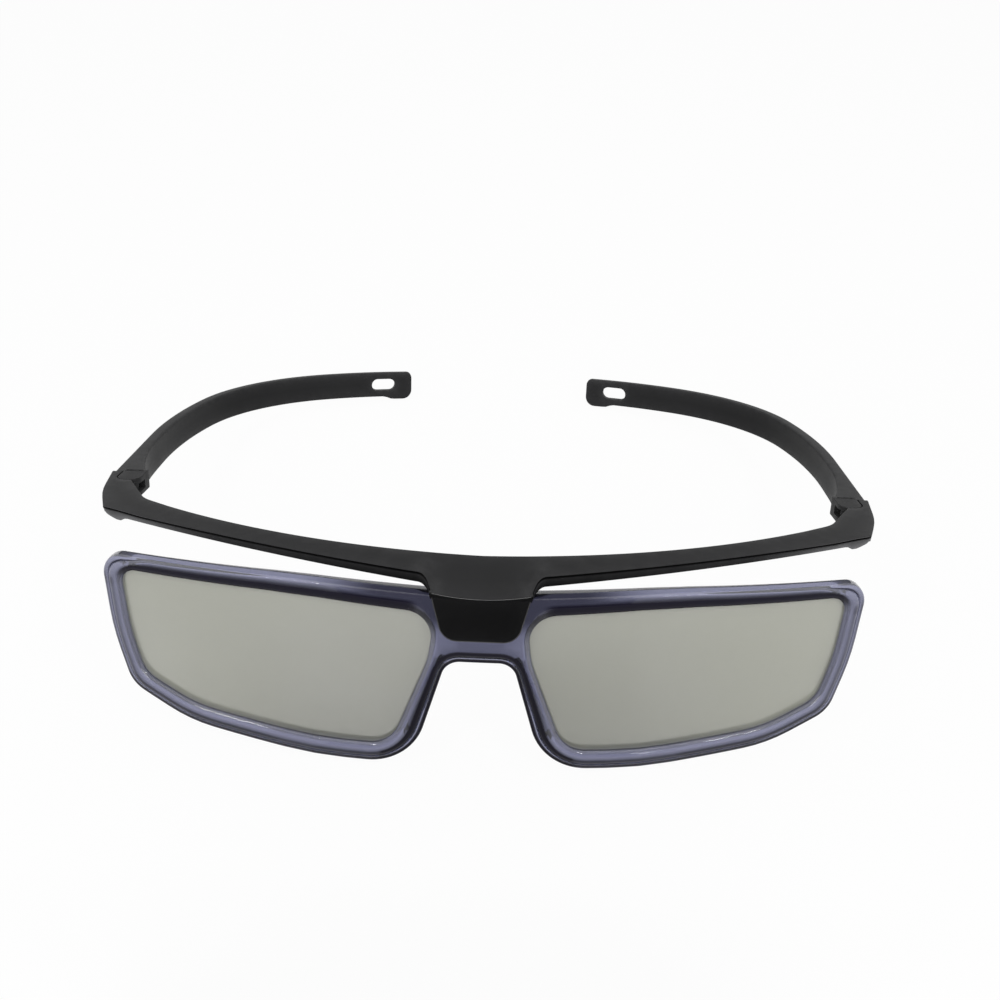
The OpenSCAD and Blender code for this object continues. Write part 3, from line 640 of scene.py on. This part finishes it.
def black_plastic(name, tone, roughness, specular, grain_depth):
    """Moulded plastic: fine grain, faint cloudy tone, small changes in gloss, rubbed edges, a painted sheen
    on the bar's front face, and a painted shadow along its stored line.
    """
    finish = new_finish(name)
    grain = finish.noise(2600.0, 3.0)
    cloud = finish.noise(60.0, 2.0)
    rub = finish.stored("wear") * finish.noise(420.0, 3.0)
    colour = finish.mix(cloud, grey(0.8 * tone), grey(1.2 * tone))
    # painted sheen: lighter grey where the bar's front face turns to the sides
    colour = finish.mix(finish.stored("face"), colour, grey(FACE_SHEEN_GREY))
    colour = finish.mix(rub, colour, grey(2.4 * tone))
    gloss = roughness + 0.1 * (cloud - 0.5) + 0.06 * (grain - 0.5) - 0.12 * rub
    # painted shadow: a darker, almost unreflecting copy of the plastic, mixed in by the stored line
    shadow = finish.mix(cloud, grey(0.06 * tone), grey(0.14 * tone))
    shared = {"Roughness": gloss, "IOR": 1.5, "Normal": finish.bump(grain, 0.12, grain_depth)}
    light = finish.principled({**shared, "Base Color": colour, "Specular IOR Level": specular})
    dark = finish.principled({**shared, "Base Color": shadow, "Specular IOR Level": 0.02})
    return finish.material(finish.blend(finish.stored("line"), light, dark))


def violet_plastic():
    """Clear violet plastic, darker where it is thicker, with painted light and shade on the rims' front,
    faint flow lines and scuffed edges.
    """
    finish = new_finish("violet_translucent_plastic")
    flow = finish.noise(90.0, 2.0)
    grain = finish.noise(1500.0, 2.0)
    rub = finish.stored("wear") * grain
    clear = finish.mix(flow, (0.66, 0.67, 0.80, 1.0), (0.79, 0.80, 0.91, 1.0))
    # painted light and shade of the rims' front, stored from their slopes
    shade = finish.stored("shade")
    depth = finish.node("ShaderNodeVolumeAbsorption", {"Color": (0.175, 0.19, 0.39, 1.0), "Density": 380.0})
    shared = {"IOR": 1.49, "Normal": finish.bump(flow, 0.08, 0.0002)}
    light = finish.principled({
        **shared,
        "Base Color": finish.mix(shade, clear, (0.003, 0.002, 0.008, 1.0)),
        "Roughness": 0.03 + 0.03 * grain + 0.08 * rub,
        "Transmission Weight": 0.85})
    # painted shade: a near-black, less glossy copy of the plastic, mixed in where the stored shade is deep
    dark = finish.principled({
        **shared,
        "Base Color": finish.mix(flow, (0.004, 0.003, 0.010, 1.0), (0.010, 0.008, 0.020, 1.0)),
        "Roughness": 0.12 + 0.05 * grain,
        "Specular IOR Level": 0.12})
    return finish.material(finish.blend(shade ** 4.0, light, dark), Volume=depth)


def lens_sheet(name, tint, alpha):
    """Grey polarising sheet: thin tinted pane with faint soft clouds and drawn streaks."""
    finish = new_finish(name)
    stretched = finish.node("ShaderNodeMapping", {"Vector": finish.place(), "Scale": (14.0, 40.0, 90.0)})
    streak = finish.noise(1.0, 1.0, vector=stretched)
    cloud = finish.noise(24.0, 1.0)
    dark, light = (tuple(k * c for c in tint) + (1.0,) for k in (0.88, 1.1))
    return finish.material(finish.principled({
        "Base Color": finish.mix(0.5 * cloud + 0.5 * streak, dark, light),
        "Roughness": 0.2 + 0.05 * streak,
        "IOR": 1.45,
        "Specular IOR Level": 0.25,
        "Alpha": alpha * (0.76 + 0.36 * cloud + 0.12 * streak)}))


def bright_steel():
    """Turned steel with fine tool marks and rubbed edges."""
    finish = new_finish("turned_steel")
    turned = finish.noise(900.0, 3.0)
    rub = finish.stored("wear") * turned
    return finish.material(finish.principled({
        "Base Color": finish.mix(turned + 0.3 * rub, (0.42, 0.43, 0.45, 1.0), (0.62, 0.63, 0.65, 1.0)),
        "Metallic": 1.0,
        "Roughness": 0.25 + 0.15 * turned,
        "Normal": finish.bump(turned, 0.1, 0.00002)}))


BLACK = black_plastic("satin_black_plastic", 0.023, 0.5, 0.05, 0.00003)
SHIELD_BLACK = black_plastic("gloss_black_plastic", 0.008, 0.16, 0.5, 0.00001)
VIOLET = violet_plastic()
SHEET = lens_sheet("polarising_sheet", (0.46, 0.465, 0.395), 0.60)
FILM = lens_sheet("retarder_film", (0.50, 0.51, 0.44), 0.12)
STEEL = bright_steel()


# Lens frame
def bent(points, share, offset, depth, start=0.0):
    """Points (x, z) on the bent front, at a depth behind it."""
    y = bend_y(points[:, 0], start + share * depth + offset)
    return np.stack([points[:, 0], y, points[:, 1]], axis=1)


def frame_loop():
    arch, bridge = (ARCH_W / 2, ARCH_H, ARCH_R), (SHIELD_TOP_W / 2, BRIDGE_TOP_Z, BRIDGE_BEND_R)
    half = [arch, *RIM_CORNERS[:7], bridge]
    return spread(rounded(half + [(-x, z, r) for x, z, r in reversed(half)]), LOOP_GAP)


def lens_loop(width):
    return spread(rounded(grown(CORNERS, [width] * len(CORNERS))), LOOP_GAP)


def flipped(loop):
    """The loop mirrored across the middle, still running the same way round."""
    return (loop * MIRROR)[::-1]


def at_top(loop):
    """How far each point belongs to the top of the rims, where the crest lies higher."""
    past_corner = ease((RIM_OUT_X - SHIFT_SIDE - np.abs(loop[:, 0])) / SHIFT_SIDE_RUN)
    return past_corner * ease((loop[:, 1] - OPEN_TOP_Z + SHIFT_BELOW) / SHIFT_BELOW_RUN)


def rim_shell():
    """Both rims and the bridge, with the grooves for the lenses."""
    opening = lens_loop(0.0)
    groove_in = (LENS_RECESS - LENS_PLAY) / RIM_DEPTH
    groove_out = (LENS_RECESS + FILM_T + BOND_GAP + POLARISER_T + LENS_PLAY) / RIM_DEPTH
    groove = LENS_SEAT + LENS_PLAY
    groove_walls = [(inset, share, 0.0) for inset, share in (
        (0.0, groove_in), (groove, groove_in), (groove, groove_out), (0.0, groove_out))]
    loops = [frame_loop(), opening[::-1], opening * MIRROR]
    high = at_top(loops[0])
    width = (OUTER_SLOPE - TOP_SHIFT * high) * crest_width(loops[0], loops[1:])
    profiles = [grooved_edge(width, OUTER_FALL, high) + rear_edge(RIM_REAR_ROUND)]
    for loop in loops[1:]:
        width = (INNER_SLOPE + TOP_SHIFT * at_top(loop)) * crest_width(loop, loops[:1])
        profiles.append(sloped_edge(width, INNER_FALL) + groove_walls + rear_edge(OPENING_REAR_ROUND))
    return plate(loops, profiles, lambda p, share, offset: bent(p, share, offset, RIM_DEPTH), RIM_FILL)


def nose_flange():
    """Rounded plate behind the nose side of the rim."""
    line = grown(CORNERS, [RIM_NOSE - FLANGE_INSET] * len(CORNERS))
    low, high = np.array(line[0][:2]), np.array(line[8][:2])
    along = unit(high - low)
    middle = low + along * (RIM_BOTTOM + FLANGE_H - low[1]) / along[1]
    fillet_z = RIM_DEPTH + FLANGE_FILLET - FLANGE_DEPTH
    fillet_x = math.sqrt((FLANGE_R + FLANGE_FILLET) ** 2 - fillet_z ** 2)
    meet = math.atan2(fillet_x, fillet_z)
    fillet = [(fillet_x - FLANGE_FILLET * math.sin(a), FLANGE_DEPTH + fillet_z - FLANGE_FILLET * math.cos(a))
              for a in np.linspace(0, meet, FILLET_POINTS)]
    crown = [(FLANGE_R * math.sin(a), FLANGE_DEPTH + FLANGE_R * math.cos(a))
             for a in np.linspace(meet, 0, CURVE_POINTS)]
    half = np.array([(fillet_x, RIM_DEPTH / 2)] + fillet + crown[1:])
    arc = np.concatenate([half, (half * MIRROR)[-2::-1]]) / np.array([along[1], 1.0])
    loop = spread(arc, LOOP_GAP)

    def place(points, share, offset):
        base = middle + points[:, :1] * along + (share * FLANGE_T + offset) * outward(along)
        return np.stack([base[:, 0], points[:, 1], base[:, 1]], axis=1)

    edge = front_edge(FLANGE_EDGE) + rear_edge(FLANGE_EDGE)
    return plate([loop], [edge], place, FLANGE_FILL)


def make_lens_frame():
    mesh = shell("lens_frame_body", rim_shell())
    for side, _ in SIDES:
        mesh = combined(mesh, shell("nose_flange", on_side(nose_flange(), side)), "UNION")
    # painted light and shade on the rims' front, stored as "shade"
    mark_painted_rim_shade(mesh, OPEN_IN_X + LENS_W / 2)
    finished("lens_frame_body", mesh, VIOLET, "front", ["lens_frame"])


def make_lens(side, name, depth, thickness, finish, node):
    part = plate([lens_loop(LENS_SEAT)], [STRAIGHT_EDGE],
                 lambda p, share, offset: bent(p, share, offset, thickness, depth), LENS_FILL)
    finished(name, shell(name, on_side(part, side)), finish, "front", [node])


# Brow bar
def round_hinge(radius, start, end, count):
    """Plan points round the hinge between two angles, in radians from the outside."""
    angles = np.linspace(start, end, count)
    return np.array([HINGE + radius * np.array([math.cos(a), math.sin(a)]) for a in angles])


def level(points, z):
    """Plan points (x, y) at one height."""
    return np.column_stack([points, np.full(len(points), z)])


def bar_plan():
    """Plan outline of bar, block and end pieces, anticlockwise from above."""
    notch = BLOCK_HALF + BLOCK_CORNER * (1 - np.cos(np.linspace(0, math.pi / 2, QUARTER_POINTS)))
    xs = np.concatenate([np.linspace(0, BLOCK_HALF, BLOCK_POINTS), notch[1:],
                         np.linspace(BLOCK_HALF + BLOCK_CORNER, TAB_X, BAR_POINTS)[1:]])
    front = np.stack([xs, front_y(xs)], axis=1)
    outer = rounded([(TAB_X, bar_front_y(TAB_X), 0), (CORNER_X, CORNER_Y, CORNER_R),
                     (CORNER_X + BOW_OUT, CORNER_Y + BOW_BACK, BOW_R), (END_X, END_Y, EDGE_R),
                     (HINGE[0] + POCKET_R, END_Y, EDGE_R), (HINGE[0] + POCKET_R, HINGE[1], 0)], closed=False)
    last = math.acos(-NECK_IN / POCKET_R)
    pocket = round_hinge(POCKET_R, 0, -last, POCKET_POINTS)
    rear_x = BACK_X - CORNER_RUN
    inner = rounded([(*pocket[-1], 0), (BACK_X, bar_rear_y(BACK_X), INNER_R),
                     (rear_x, bar_rear_y(rear_x), 0)], closed=False)
    xs = np.linspace(rear_x, 0, BAR_POINTS)
    rear = np.stack([xs, bar_rear_y(xs)], axis=1)
    half = np.concatenate([front, outer[1:], pocket[1:], inner[1:], rear[1:]])
    return spread(np.concatenate([half, flipped(half)[1:-1]]), BAR_LOOP_GAP)


def bar_place(points, share, offset):
    """Plan points set between the top and the underside of bar and end pieces."""
    x, y = np.abs(points[:, 0]), points[:, 1]
    bar_x = np.minimum(x, CORNER_X)
    front, rear = front_y(bar_x), bar_rear_y(bar_x)
    across = np.clip((y - front) / (rear - front), 0, 1)
    top = front_z(bar_x) + across * (bar_rear_z(bar_x) - front_z(bar_x))
    under = under_z(bar_x) + across * (bar_rear_z(bar_x) - BROW_BACK_H - under_z(bar_x))
    slope = (END_H - TAB_H) / (END_LEN - STOP_BACK - NOSE_R)
    end_under = np.maximum(TOP_Z - TAB_H - slope * np.maximum(0, y - CORNER_Y), END_LOW_Z)
    outermost = np.array([CORNER_X, CORNER_Y]) + TAB_ROUND_BACK * unit(np.array([BOW_OUT, BOW_BACK]))
    away = np.hypot(x - outermost[0], y - outermost[1]) / TAB_ROUND_REACH
    end_under = end_under + TAB_ROUND * (1 - np.sqrt(np.minimum(1, away)))
    edge_front = np.array([TAB_X, bar_front_y(TAB_X)])
    edge_rear = np.array([BACK_X, bar_rear_y(BACK_X)])
    past = (np.stack([x, y], axis=1) - edge_front) @ outward(unit(edge_rear - edge_front))
    top = top + ease(past / TOP_RUN + 0.5) * (TOP_Z - top)
    under = under + ease((past + BLEND_LEAD) / BLEND_RUN) * (end_under - under)
    offset = np.clip(offset, -LIFT_LIMIT * (top - under), SINK_LIMIT * (top - under))
    return np.stack([points[:, 0], y, top + share * (under - top) - offset], axis=1)


def shield_shell():
    low = SHIELD_BOTTOM_W / 2
    sides = rounded([(-BLOCK_HALF, fold_z(BLOCK_HALF), 0), (-low, SHIELD_LOW_Z, SHIELD_CORNER_R),
                     (low, SHIELD_LOW_Z, SHIELD_CORNER_R), (BLOCK_HALF, fold_z(BLOCK_HALF), 0)], closed=False)
    xs = np.linspace(BLOCK_HALF, -BLOCK_HALF, CURVE_POINTS)[1:-1]
    loop = spread(np.concatenate([sides, np.stack([xs, fold_z(np.abs(xs))], axis=1)]), LOOP_GAP)

    def place(points, share, offset):
        y = SHIELD_FRONT + SHIELD_BACK + share * (SHIELD_T - SHIELD_BACK) + offset
        return np.stack([points[:, 0], np.full(len(points), y), points[:, 1]], axis=1)

    return plate([loop], [front_edge(SHIELD_EDGE) + rear_edge(SHIELD_REAR_EDGE)], place, BAR_FILL)


def canted(points, side):
    """Points about the hinge leaned with its pin."""
    pivot = np.array([*HINGE, HINGE_Z])
    lean = np.array(Matrix.Rotation(math.radians(HINGE_CANT) * side, 3, "Y"))
    return (points - pivot) @ lean.T + pivot


def tongue_shell(side):
    """Hinge tongue: round end, straight root, pin hole."""
    root = POCKET_R + TONGUE_ROOT
    ring = round_hinge(TONGUE_R, 0, math.pi, CURVE_POINTS)
    ring = np.concatenate([ring[:-1], [HINGE + (-TONGUE_R, 0), HINGE + (-NECK_IN, -TONGUE_R),
                                       HINGE + (-NECK_IN, -root), HINGE + (TONGUE_R, -root)]])
    hole = round_hinge(PIN_R + PIN_PLAY, 0, -2 * math.pi, CURVE_POINTS + 1)[:-1]

    def place(points, share, offset):
        return canted(level(points, HINGE_Z + TONGUE_T * (0.5 - share) - offset), side)

    return plate([spread(ring, LOOP_GAP), hole], [STRAIGHT_EDGE] * 2, place, TONGUE_FILL)


def make_brow_bar():
    line = [(LINE_IN, 0.0, BROW_EDGE + LINE_START), (LINE_IN, 0.0, BROW_EDGE + LINE_H),
            (0.0, 0.0, BROW_EDGE + LINE_H + LINE_END)]
    edge = front_edge(BROW_EDGE) + line
    edge += [(inset + BROW_DRAFT, *rest) for inset, *rest in rear_edge(BROW_UNDER_EDGE)]
    plan = bar_plan()
    tongues = [on_side(tongue_shell(side), side) for side, _ in SIDES]
    mesh = shell("brow_bar_body", plate([plan], [edge], bar_place, BAR_FILL), *tongues)
    # painted sheen on the sides of the front face; the dimmed share is painted shade
    dimmed = mark_painted_face_sheen(mesh)
    ring = np.arange(len(mesh.vertices)) // len(plan) - EDGE_STEPS
    # painted shadow along the groove under the top edge and over the dimmed middle of the front face
    mark(mesh, "line", np.maximum(dimmed, (ring >= 0) & (ring < len(line))))
    finished("brow_bar_body", mesh, BLACK, "front", ["brow_bar"])
    finished("brow_shield", shell("brow_shield", shield_shell()), SHIELD_BLACK, "front")


# Arms
ARM_LEN = ARM_STRAIGHT + sum(run for run, _ in ARM_BENDS)
ARM_START = np.array([END_X - ARM_INSET, END_Y + STOP_GAP])
ARM_HEAD_T = ARM_START[0] - HINGE[0] + NOSE_R
SLOT_S = ARM_LEN - SLOT_IN


def heading(s):
    """Direction of the arm at distance s, as a turn towards the inside in radians."""
    turn, start = -ARM_SPLAY, ARM_STRAIGHT
    for run, angle in ARM_BENDS:
        turn = turn + angle * np.clip((s - start) / run, 0, 1)
        start += run
    return np.radians(turn)


PATH_S = np.linspace(0, ARM_LEN, PATH_POINTS)
PATH_MIDDLE = heading((PATH_S[1:] + PATH_S[:-1]) / 2)
PATH = ARM_START + np.concatenate([[[0, 0]], np.cumsum(
    PATH_S[1] * np.stack([-np.sin(PATH_MIDDLE), np.cos(PATH_MIDDLE)], axis=1), axis=0)])


def arm_spot(s):
    return np.stack([np.interp(s, PATH_S, along) for along in PATH.T], axis=1)


def taper(s):
    return np.maximum(0, 1 - s / ARM_TAPER) ** 2


def corner_cut(s, r):
    return r - np.sqrt(np.maximum(0, r * r - np.clip(s - ARM_LEN + r, 0, r) ** 2))


def arm_low(s):
    low = ARM_H - (ARM_H - END_H) * taper(s) + TIP_FOOT * ease((s - SLOT_S) / FOOT_RUN)
    return TOP_Z - low + corner_cut(s, TIP_LOW_R)


def arm_top(s):
    return TOP_Z - TOP_STEP - corner_cut(s, TIP_TOP_R)


def arm_place(points, share, offset):
    s = points[:, 0]
    thick = ARM_T + (ARM_HEAD_T - ARM_T) * taper(s)
    turn = heading(s)
    inwards = np.stack([-np.cos(turn), -np.sin(turn)], axis=1)
    flat = arm_spot(s) + inwards * (share * thick + offset)[:, None]
    return np.column_stack([flat, points[:, 1]])


def slot_loop():
    middle = (arm_low(SLOT_S) + arm_top(SLOT_S)) / 2
    half, r = (SLOT_L - SLOT_H) / 2, SLOT_H / 2
    turn = np.linspace(0, math.pi, SLOT_POINTS)
    loop = [(SLOT_S + way * (half + r * math.sin(a)), middle + way * r * math.cos(a))
            for way in (1, -1) for a in turn]
    return spread(np.array(loop), SLOT_LOOP_GAP)


def arm_shell():
    turn = np.sin(np.linspace(0, math.pi / 2, QUARTER_POINTS))[1:]
    low_s, top_s = (np.concatenate([np.linspace(0, ARM_LEN - r, ARM_POINTS), ARM_LEN - r + r * turn])
                    for r in (TIP_LOW_R, TIP_TOP_R))
    low = np.stack([low_s, arm_low(low_s)], axis=1)
    top = np.stack([top_s, arm_top(top_s)], axis=1)[::-1]
    edge, slot = (front_edge(r) + rear_edge(r) for r in (ARM_EDGE, SLOT_EDGE))
    outline = spread(np.concatenate([low, top]), ARM_LOOP_GAP)
    return plate([outline, slot_loop()], [edge, slot], arm_place, ARM_FILL)


def head_shell():
    """The arm's round nose at the hinge, reaching back into the arm."""
    back = END_Y + STOP_GAP + HEAD_REACH
    nose = round_hinge(NOSE_R, -math.pi, 0, NOSE_POINTS)
    loop = np.concatenate([nose, [(HINGE[0] + NOSE_R, back), (HINGE[0] - NOSE_R, back)]])

    def place(points, share, offset):
        return level(points, TOP_Z - TOP_STEP - share * (END_H - TOP_STEP) - offset)

    edge = front_edge(HEAD_TOP_EDGE) + rear_edge(HEAD_LOW_EDGE)
    return plate([spread(loop, LOOP_GAP)], [edge], place, HEAD_FILL)


def slot_cutter(side):
    """Room for the tongue inside the arm's nose."""
    room = TONGUE_T / 2 + EAR_GAP
    r = TONGUE_R + TURN_GAP
    reach = 3 * NOSE_R
    arc = round_hinge(r, 0, math.pi / 2, QUARTER_POINTS)
    rest = [HINGE + (-reach, r), HINGE + (-reach, -reach), HINGE + (reach, -reach), HINGE + (reach, 0)]

    def place(points, share, offset):
        return canted(level(points, HINGE_Z + room * (1 - 2 * share)), side)

    return plate([spread(np.concatenate([arc, rest]), ROOM_GAP)], [STRAIGHT_EDGE], place, ROOM_GAP)


def make_arm(side, word):
    head = shell("head", on_side(head_shell(), side))
    head = combined(head, shell("slot", on_side(slot_cutter(side), side)), "DIFFERENCE")
    work = bmesh.new()
    work.from_mesh(shell("arm", on_side(arm_shell(), side)))
    work.from_mesh(head)
    mesh = bpy.data.meshes.new(f"{word}_arm")
    work.to_mesh(mesh)
    work.free()
    finished(f"{word}_arm_body", mesh, BLACK, f"{word}_arm", [f"{word}_temple"])


# Screws and pins
FASTENER_SIZES = ("Count", "Spacing", "Shank Start", "Shank Length", "Shank Radius", "Head Radius",
                  "Head Height", "Recess Width", "Recess Depth")


def fastener_tree():
    """A row of turned fasteners: straight shank, tapered head, and a cross recess if it has a depth."""
    group = bpy.data.node_groups.new("turned_fasteners", "GeometryNodeTree")
    kinds = {"Count": "Int", "Place": "Vector", "Turn": "Rotation", "Steel": "Material"}
    for name in (*FASTENER_SIZES, "Place", "Turn", "Steel"):
        group.interface.new_socket(name, in_out="INPUT", socket_type="NodeSocket" + kinds.get(name, "Float"))
    group.interface.new_socket("Geometry", in_out="OUTPUT", socket_type="NodeSocketGeometry")
    nodes = Nodes(group)

    def size(name):
        return nodes.node("NodeGroupInput", output=name)

    def grow(kind, inputs, settings=None):
        return nodes.node("GeometryNode" + kind, inputs, settings)

    def vector(parts):
        return nodes.node("ShaderNodeCombineXYZ", parts)

    def lifted(form, height):
        return grow("Transform", {"Geometry": form, "Translation": vector({"Z": height})})

    seat = size("Shank Start") + size("Shank Length")
    shank = grow("MeshCylinder", {
        "Vertices": SCREW_SIDES, "Radius": size("Shank Radius"), "Depth": size("Shank Length")})
    shank = lifted(shank, size("Shank Start") + 0.5 * size("Shank Length"))
    head = grow("MeshCone", {
        "Vertices": SCREW_SIDES, "Radius Top": HEAD_TAPER * size("Head Radius"),
        "Radius Bottom": size("Head Radius"), "Depth": size("Head Height")})
    head = lifted(head, seat)
    bars = []
    for along, across in (("X", "Y"), ("Y", "X")):
        box = vector({along: RECESS_REACH * size("Head Radius"), across: size("Recess Width"),
                      "Z": 2.0 * size("Recess Depth")})
        bars.append(lifted(grow("MeshCube", {"Size": box}), seat + size("Head Height")))
    sunk = grow("MeshBoolean", {"Mesh 1": head, "Mesh 2": bars}, {"operation": "DIFFERENCE"})
    head = grow("Switch", {
        "Switch": size("Recess Depth"), "False": head, "True": sunk}, {"input_type": "GEOMETRY"})
    whole = grow("JoinGeometry", {"Geometry": [shank, head]})
    start = vector({"X": -0.5 * size("Spacing") * (size("Count") - 1.0)})
    step = vector({"X": size("Spacing")})
    row = grow("MeshLine", {"Count": size("Count"), "Start Location": start, "Offset": step})
    placed = grow("InstanceOnPoints", {"Points": row, "Instance": whole})
    placed = grow("Transform", {
        "Geometry": placed, "Translation": size("Place"), "Rotation": size("Turn")})
    real = grow("RealizeInstances", {"Geometry": placed})
    done = grow("SetMaterial", {"Geometry": real, "Material": size("Steel")})
    nodes.node("NodeGroupOutput", {"Geometry": done})
    return group


def fasteners(name, group, sizes, place, turn):
    """Mesh of a row of fasteners: a count and sizes in millimetres, the row's place as worn, and its turn."""
    count, *lengths = sizes
    values = dict(zip(FASTENER_SIZES, (count, *(length * MM for length in lengths))))
    values.update({"Place": stand([place])[0], "Turn": (TURN @ turn).to_euler(), "Steel": STEEL})
    thing = added(name, bpy.data.meshes.new(name))
    modifier = thing.modifiers.new("make", "NODES")
    modifier.node_group = group
    for item in group.interface.items_tree:
        if item.in_out == "INPUT":
            modifier[item.identifier] = values[item.name]
    mesh = after_modifiers(thing)
    bpy.data.objects.remove(thing)
    return mesh


def make_fasteners():
    group = fastener_tree()
    seat = RIM_DEPTH - SCREW_HEAD_H - SCREW_SINK
    bite = -SEAT_GAP - SCREW_BITE
    sizes = (2, SCREW_SPACING, bite, seat - bite, SCREW_R, SCREW_HEAD_R, SCREW_HEAD_H, RECESS_W, RECESS_DEPTH)
    screws = fasteners("bridge_screw_pair", group, sizes, (0.0, 0.0, SHIELD_LOW_Z + SCREW_HEIGHT),
                       Matrix.Rotation(-math.pi / 2, 3, "X"))
    finished("bridge_screw_pair", screws, STEEL, "front", ["bridge_screws"])
    low = END_LOW_Z + PIN_SINK - HINGE_Z
    length = END_H - PIN_SINK - PIN_COVER
    sizes = (1, 0.0, low, length - PIN_TAPER, PIN_R, PIN_R, PIN_TAPER, 0.0, 0.0)
    for side, word in SIDES:
        pin = fasteners(f"{word}_pin", group, sizes, (side * HINGE[0], HINGE[1], HINGE_Z),
                        Matrix.Rotation(math.radians(HINGE_CANT), 3, "Y"))
        finished(f"{word}_pin", pin, STEEL, f"{word}_arm", [f"{word}_hinge_pin"])


make_lens_frame()
for side, word in SIDES:
    make_lens(side, f"{word}_lens_film", LENS_RECESS, FILM_T, FILM, f"{word}_retarder_film")
    make_lens(side, f"{word}_lens_sheet", LENS_RECESS + FILM_T + BOND_GAP, POLARISER_T, SHEET,
              f"{word}_polariser")
    make_arm(side, word)
make_brow_bar()
make_fasteners()


# Stage, light and camera: places in metres, turns in degrees
WHITE = (1.0, 1.0, 1.0, 1.0)
FLOOR_SIZE, FLOOR_DROP, FLOOR_GLOW, FLOOR_COLOUR = 6.0, 0.0001, 0.96, (0.85, 0.85, 0.85, 1.0)
CARD_PLACE, CARD_W, CARD_H = (0.0, -0.13, 0.025), 0.1, 0.05
WORLD_LIGHT, WORLD_SEEN = 0.32, 1.0
SENSOR_W, FOCAL_SHARE, NEAREST_SEEN = 36.0, 1.0838, 0.01
CAMERA_PLACE, CAMERA_TURN = (0.00382, -0.21841, 0.15258), (57.156, -1.694, 1.535)


def make_floor():
    bpy.ops.mesh.primitive_plane_add(size=FLOOR_SIZE, location=(0, 0, -FLOOR_DROP))
    floor = bpy.context.object
    floor.name = "floor"
    finish = new_finish("pale_floor")
    diffuse = finish.node("ShaderNodeBsdfDiffuse", {"Color": FLOOR_COLOUR})
    glow = finish.node("ShaderNodeEmission", {"Color": WHITE, "Strength": 1.0})
    white = finish.blend(FLOOR_GLOW, diffuse, glow)
    floor.data.materials.append(finish.material(finish.blend(finish.seen_directly(), diffuse, white)))


def make_dark_card():
    """A low dark card before the glasses, which the gloss faces mirror."""
    bpy.ops.mesh.primitive_plane_add(size=1.0, location=CARD_PLACE, rotation=(math.pi / 2, 0, 0))
    card = bpy.context.object
    card.name = "dark_card"
    card.scale = (CARD_W, CARD_H, 1.0)
    card.visible_camera = False
    finish = new_finish("dark_card")
    shader = finish.principled({"Base Color": grey(0.02), "Roughness": 0.9})
    card.data.materials.append(finish.material(shader))


def make_world():
    world = bpy.data.worlds.new("studio")
    bpy.context.scene.world = world
    sky = Nodes(world)
    pale, white = (sky.node("ShaderNodeBackground", {"Color": WHITE, "Strength": strength})
                   for strength in (WORLD_LIGHT, WORLD_SEEN))
    sky.node("ShaderNodeOutputWorld", {"Surface": sky.blend(sky.seen_directly(), pale, white)})


def make_lamp(name, place, aim, width, height, power):
    lamp = bpy.data.lights.new(name, "AREA")
    lamp.shape, lamp.size, lamp.size_y, lamp.energy = "RECTANGLE", width, height, power
    thing = added(name, lamp)
    thing.location = place
    thing.rotation_euler = (Vector(aim) - Vector(place)).to_track_quat("-Z", "Y").to_euler()


def make_camera():
    lens = bpy.data.cameras.new("camera")
    lens.sensor_width = SENSOR_W
    lens.lens = SENSOR_W * FOCAL_SHARE
    lens.clip_start = NEAREST_SEEN
    camera = added("camera", lens)
    camera.location = CAMERA_PLACE
    camera.rotation_euler = [math.radians(a) for a in CAMERA_TURN]
    bpy.context.scene.camera = camera


make_floor()
make_world()
make_dark_card()
make_lamp("overhead", place=(0.0, 0.1, 0.8), aim=(0, 0, 0), width=0.9, height=0.9, power=2.0)
make_lamp("front", place=(0.0, -0.65, 0.3), aim=(0, 0, 0.02), width=0.5, height=0.25, power=1.6)
for side, _ in SIDES:
    make_lamp("window", place=(0.28 * side, -0.37, 0.49), aim=(0, 0, 0), width=0.12, height=0.06, power=0.6)
make_camera()
bpy.context.scene.view_settings.view_transform = "Standard"
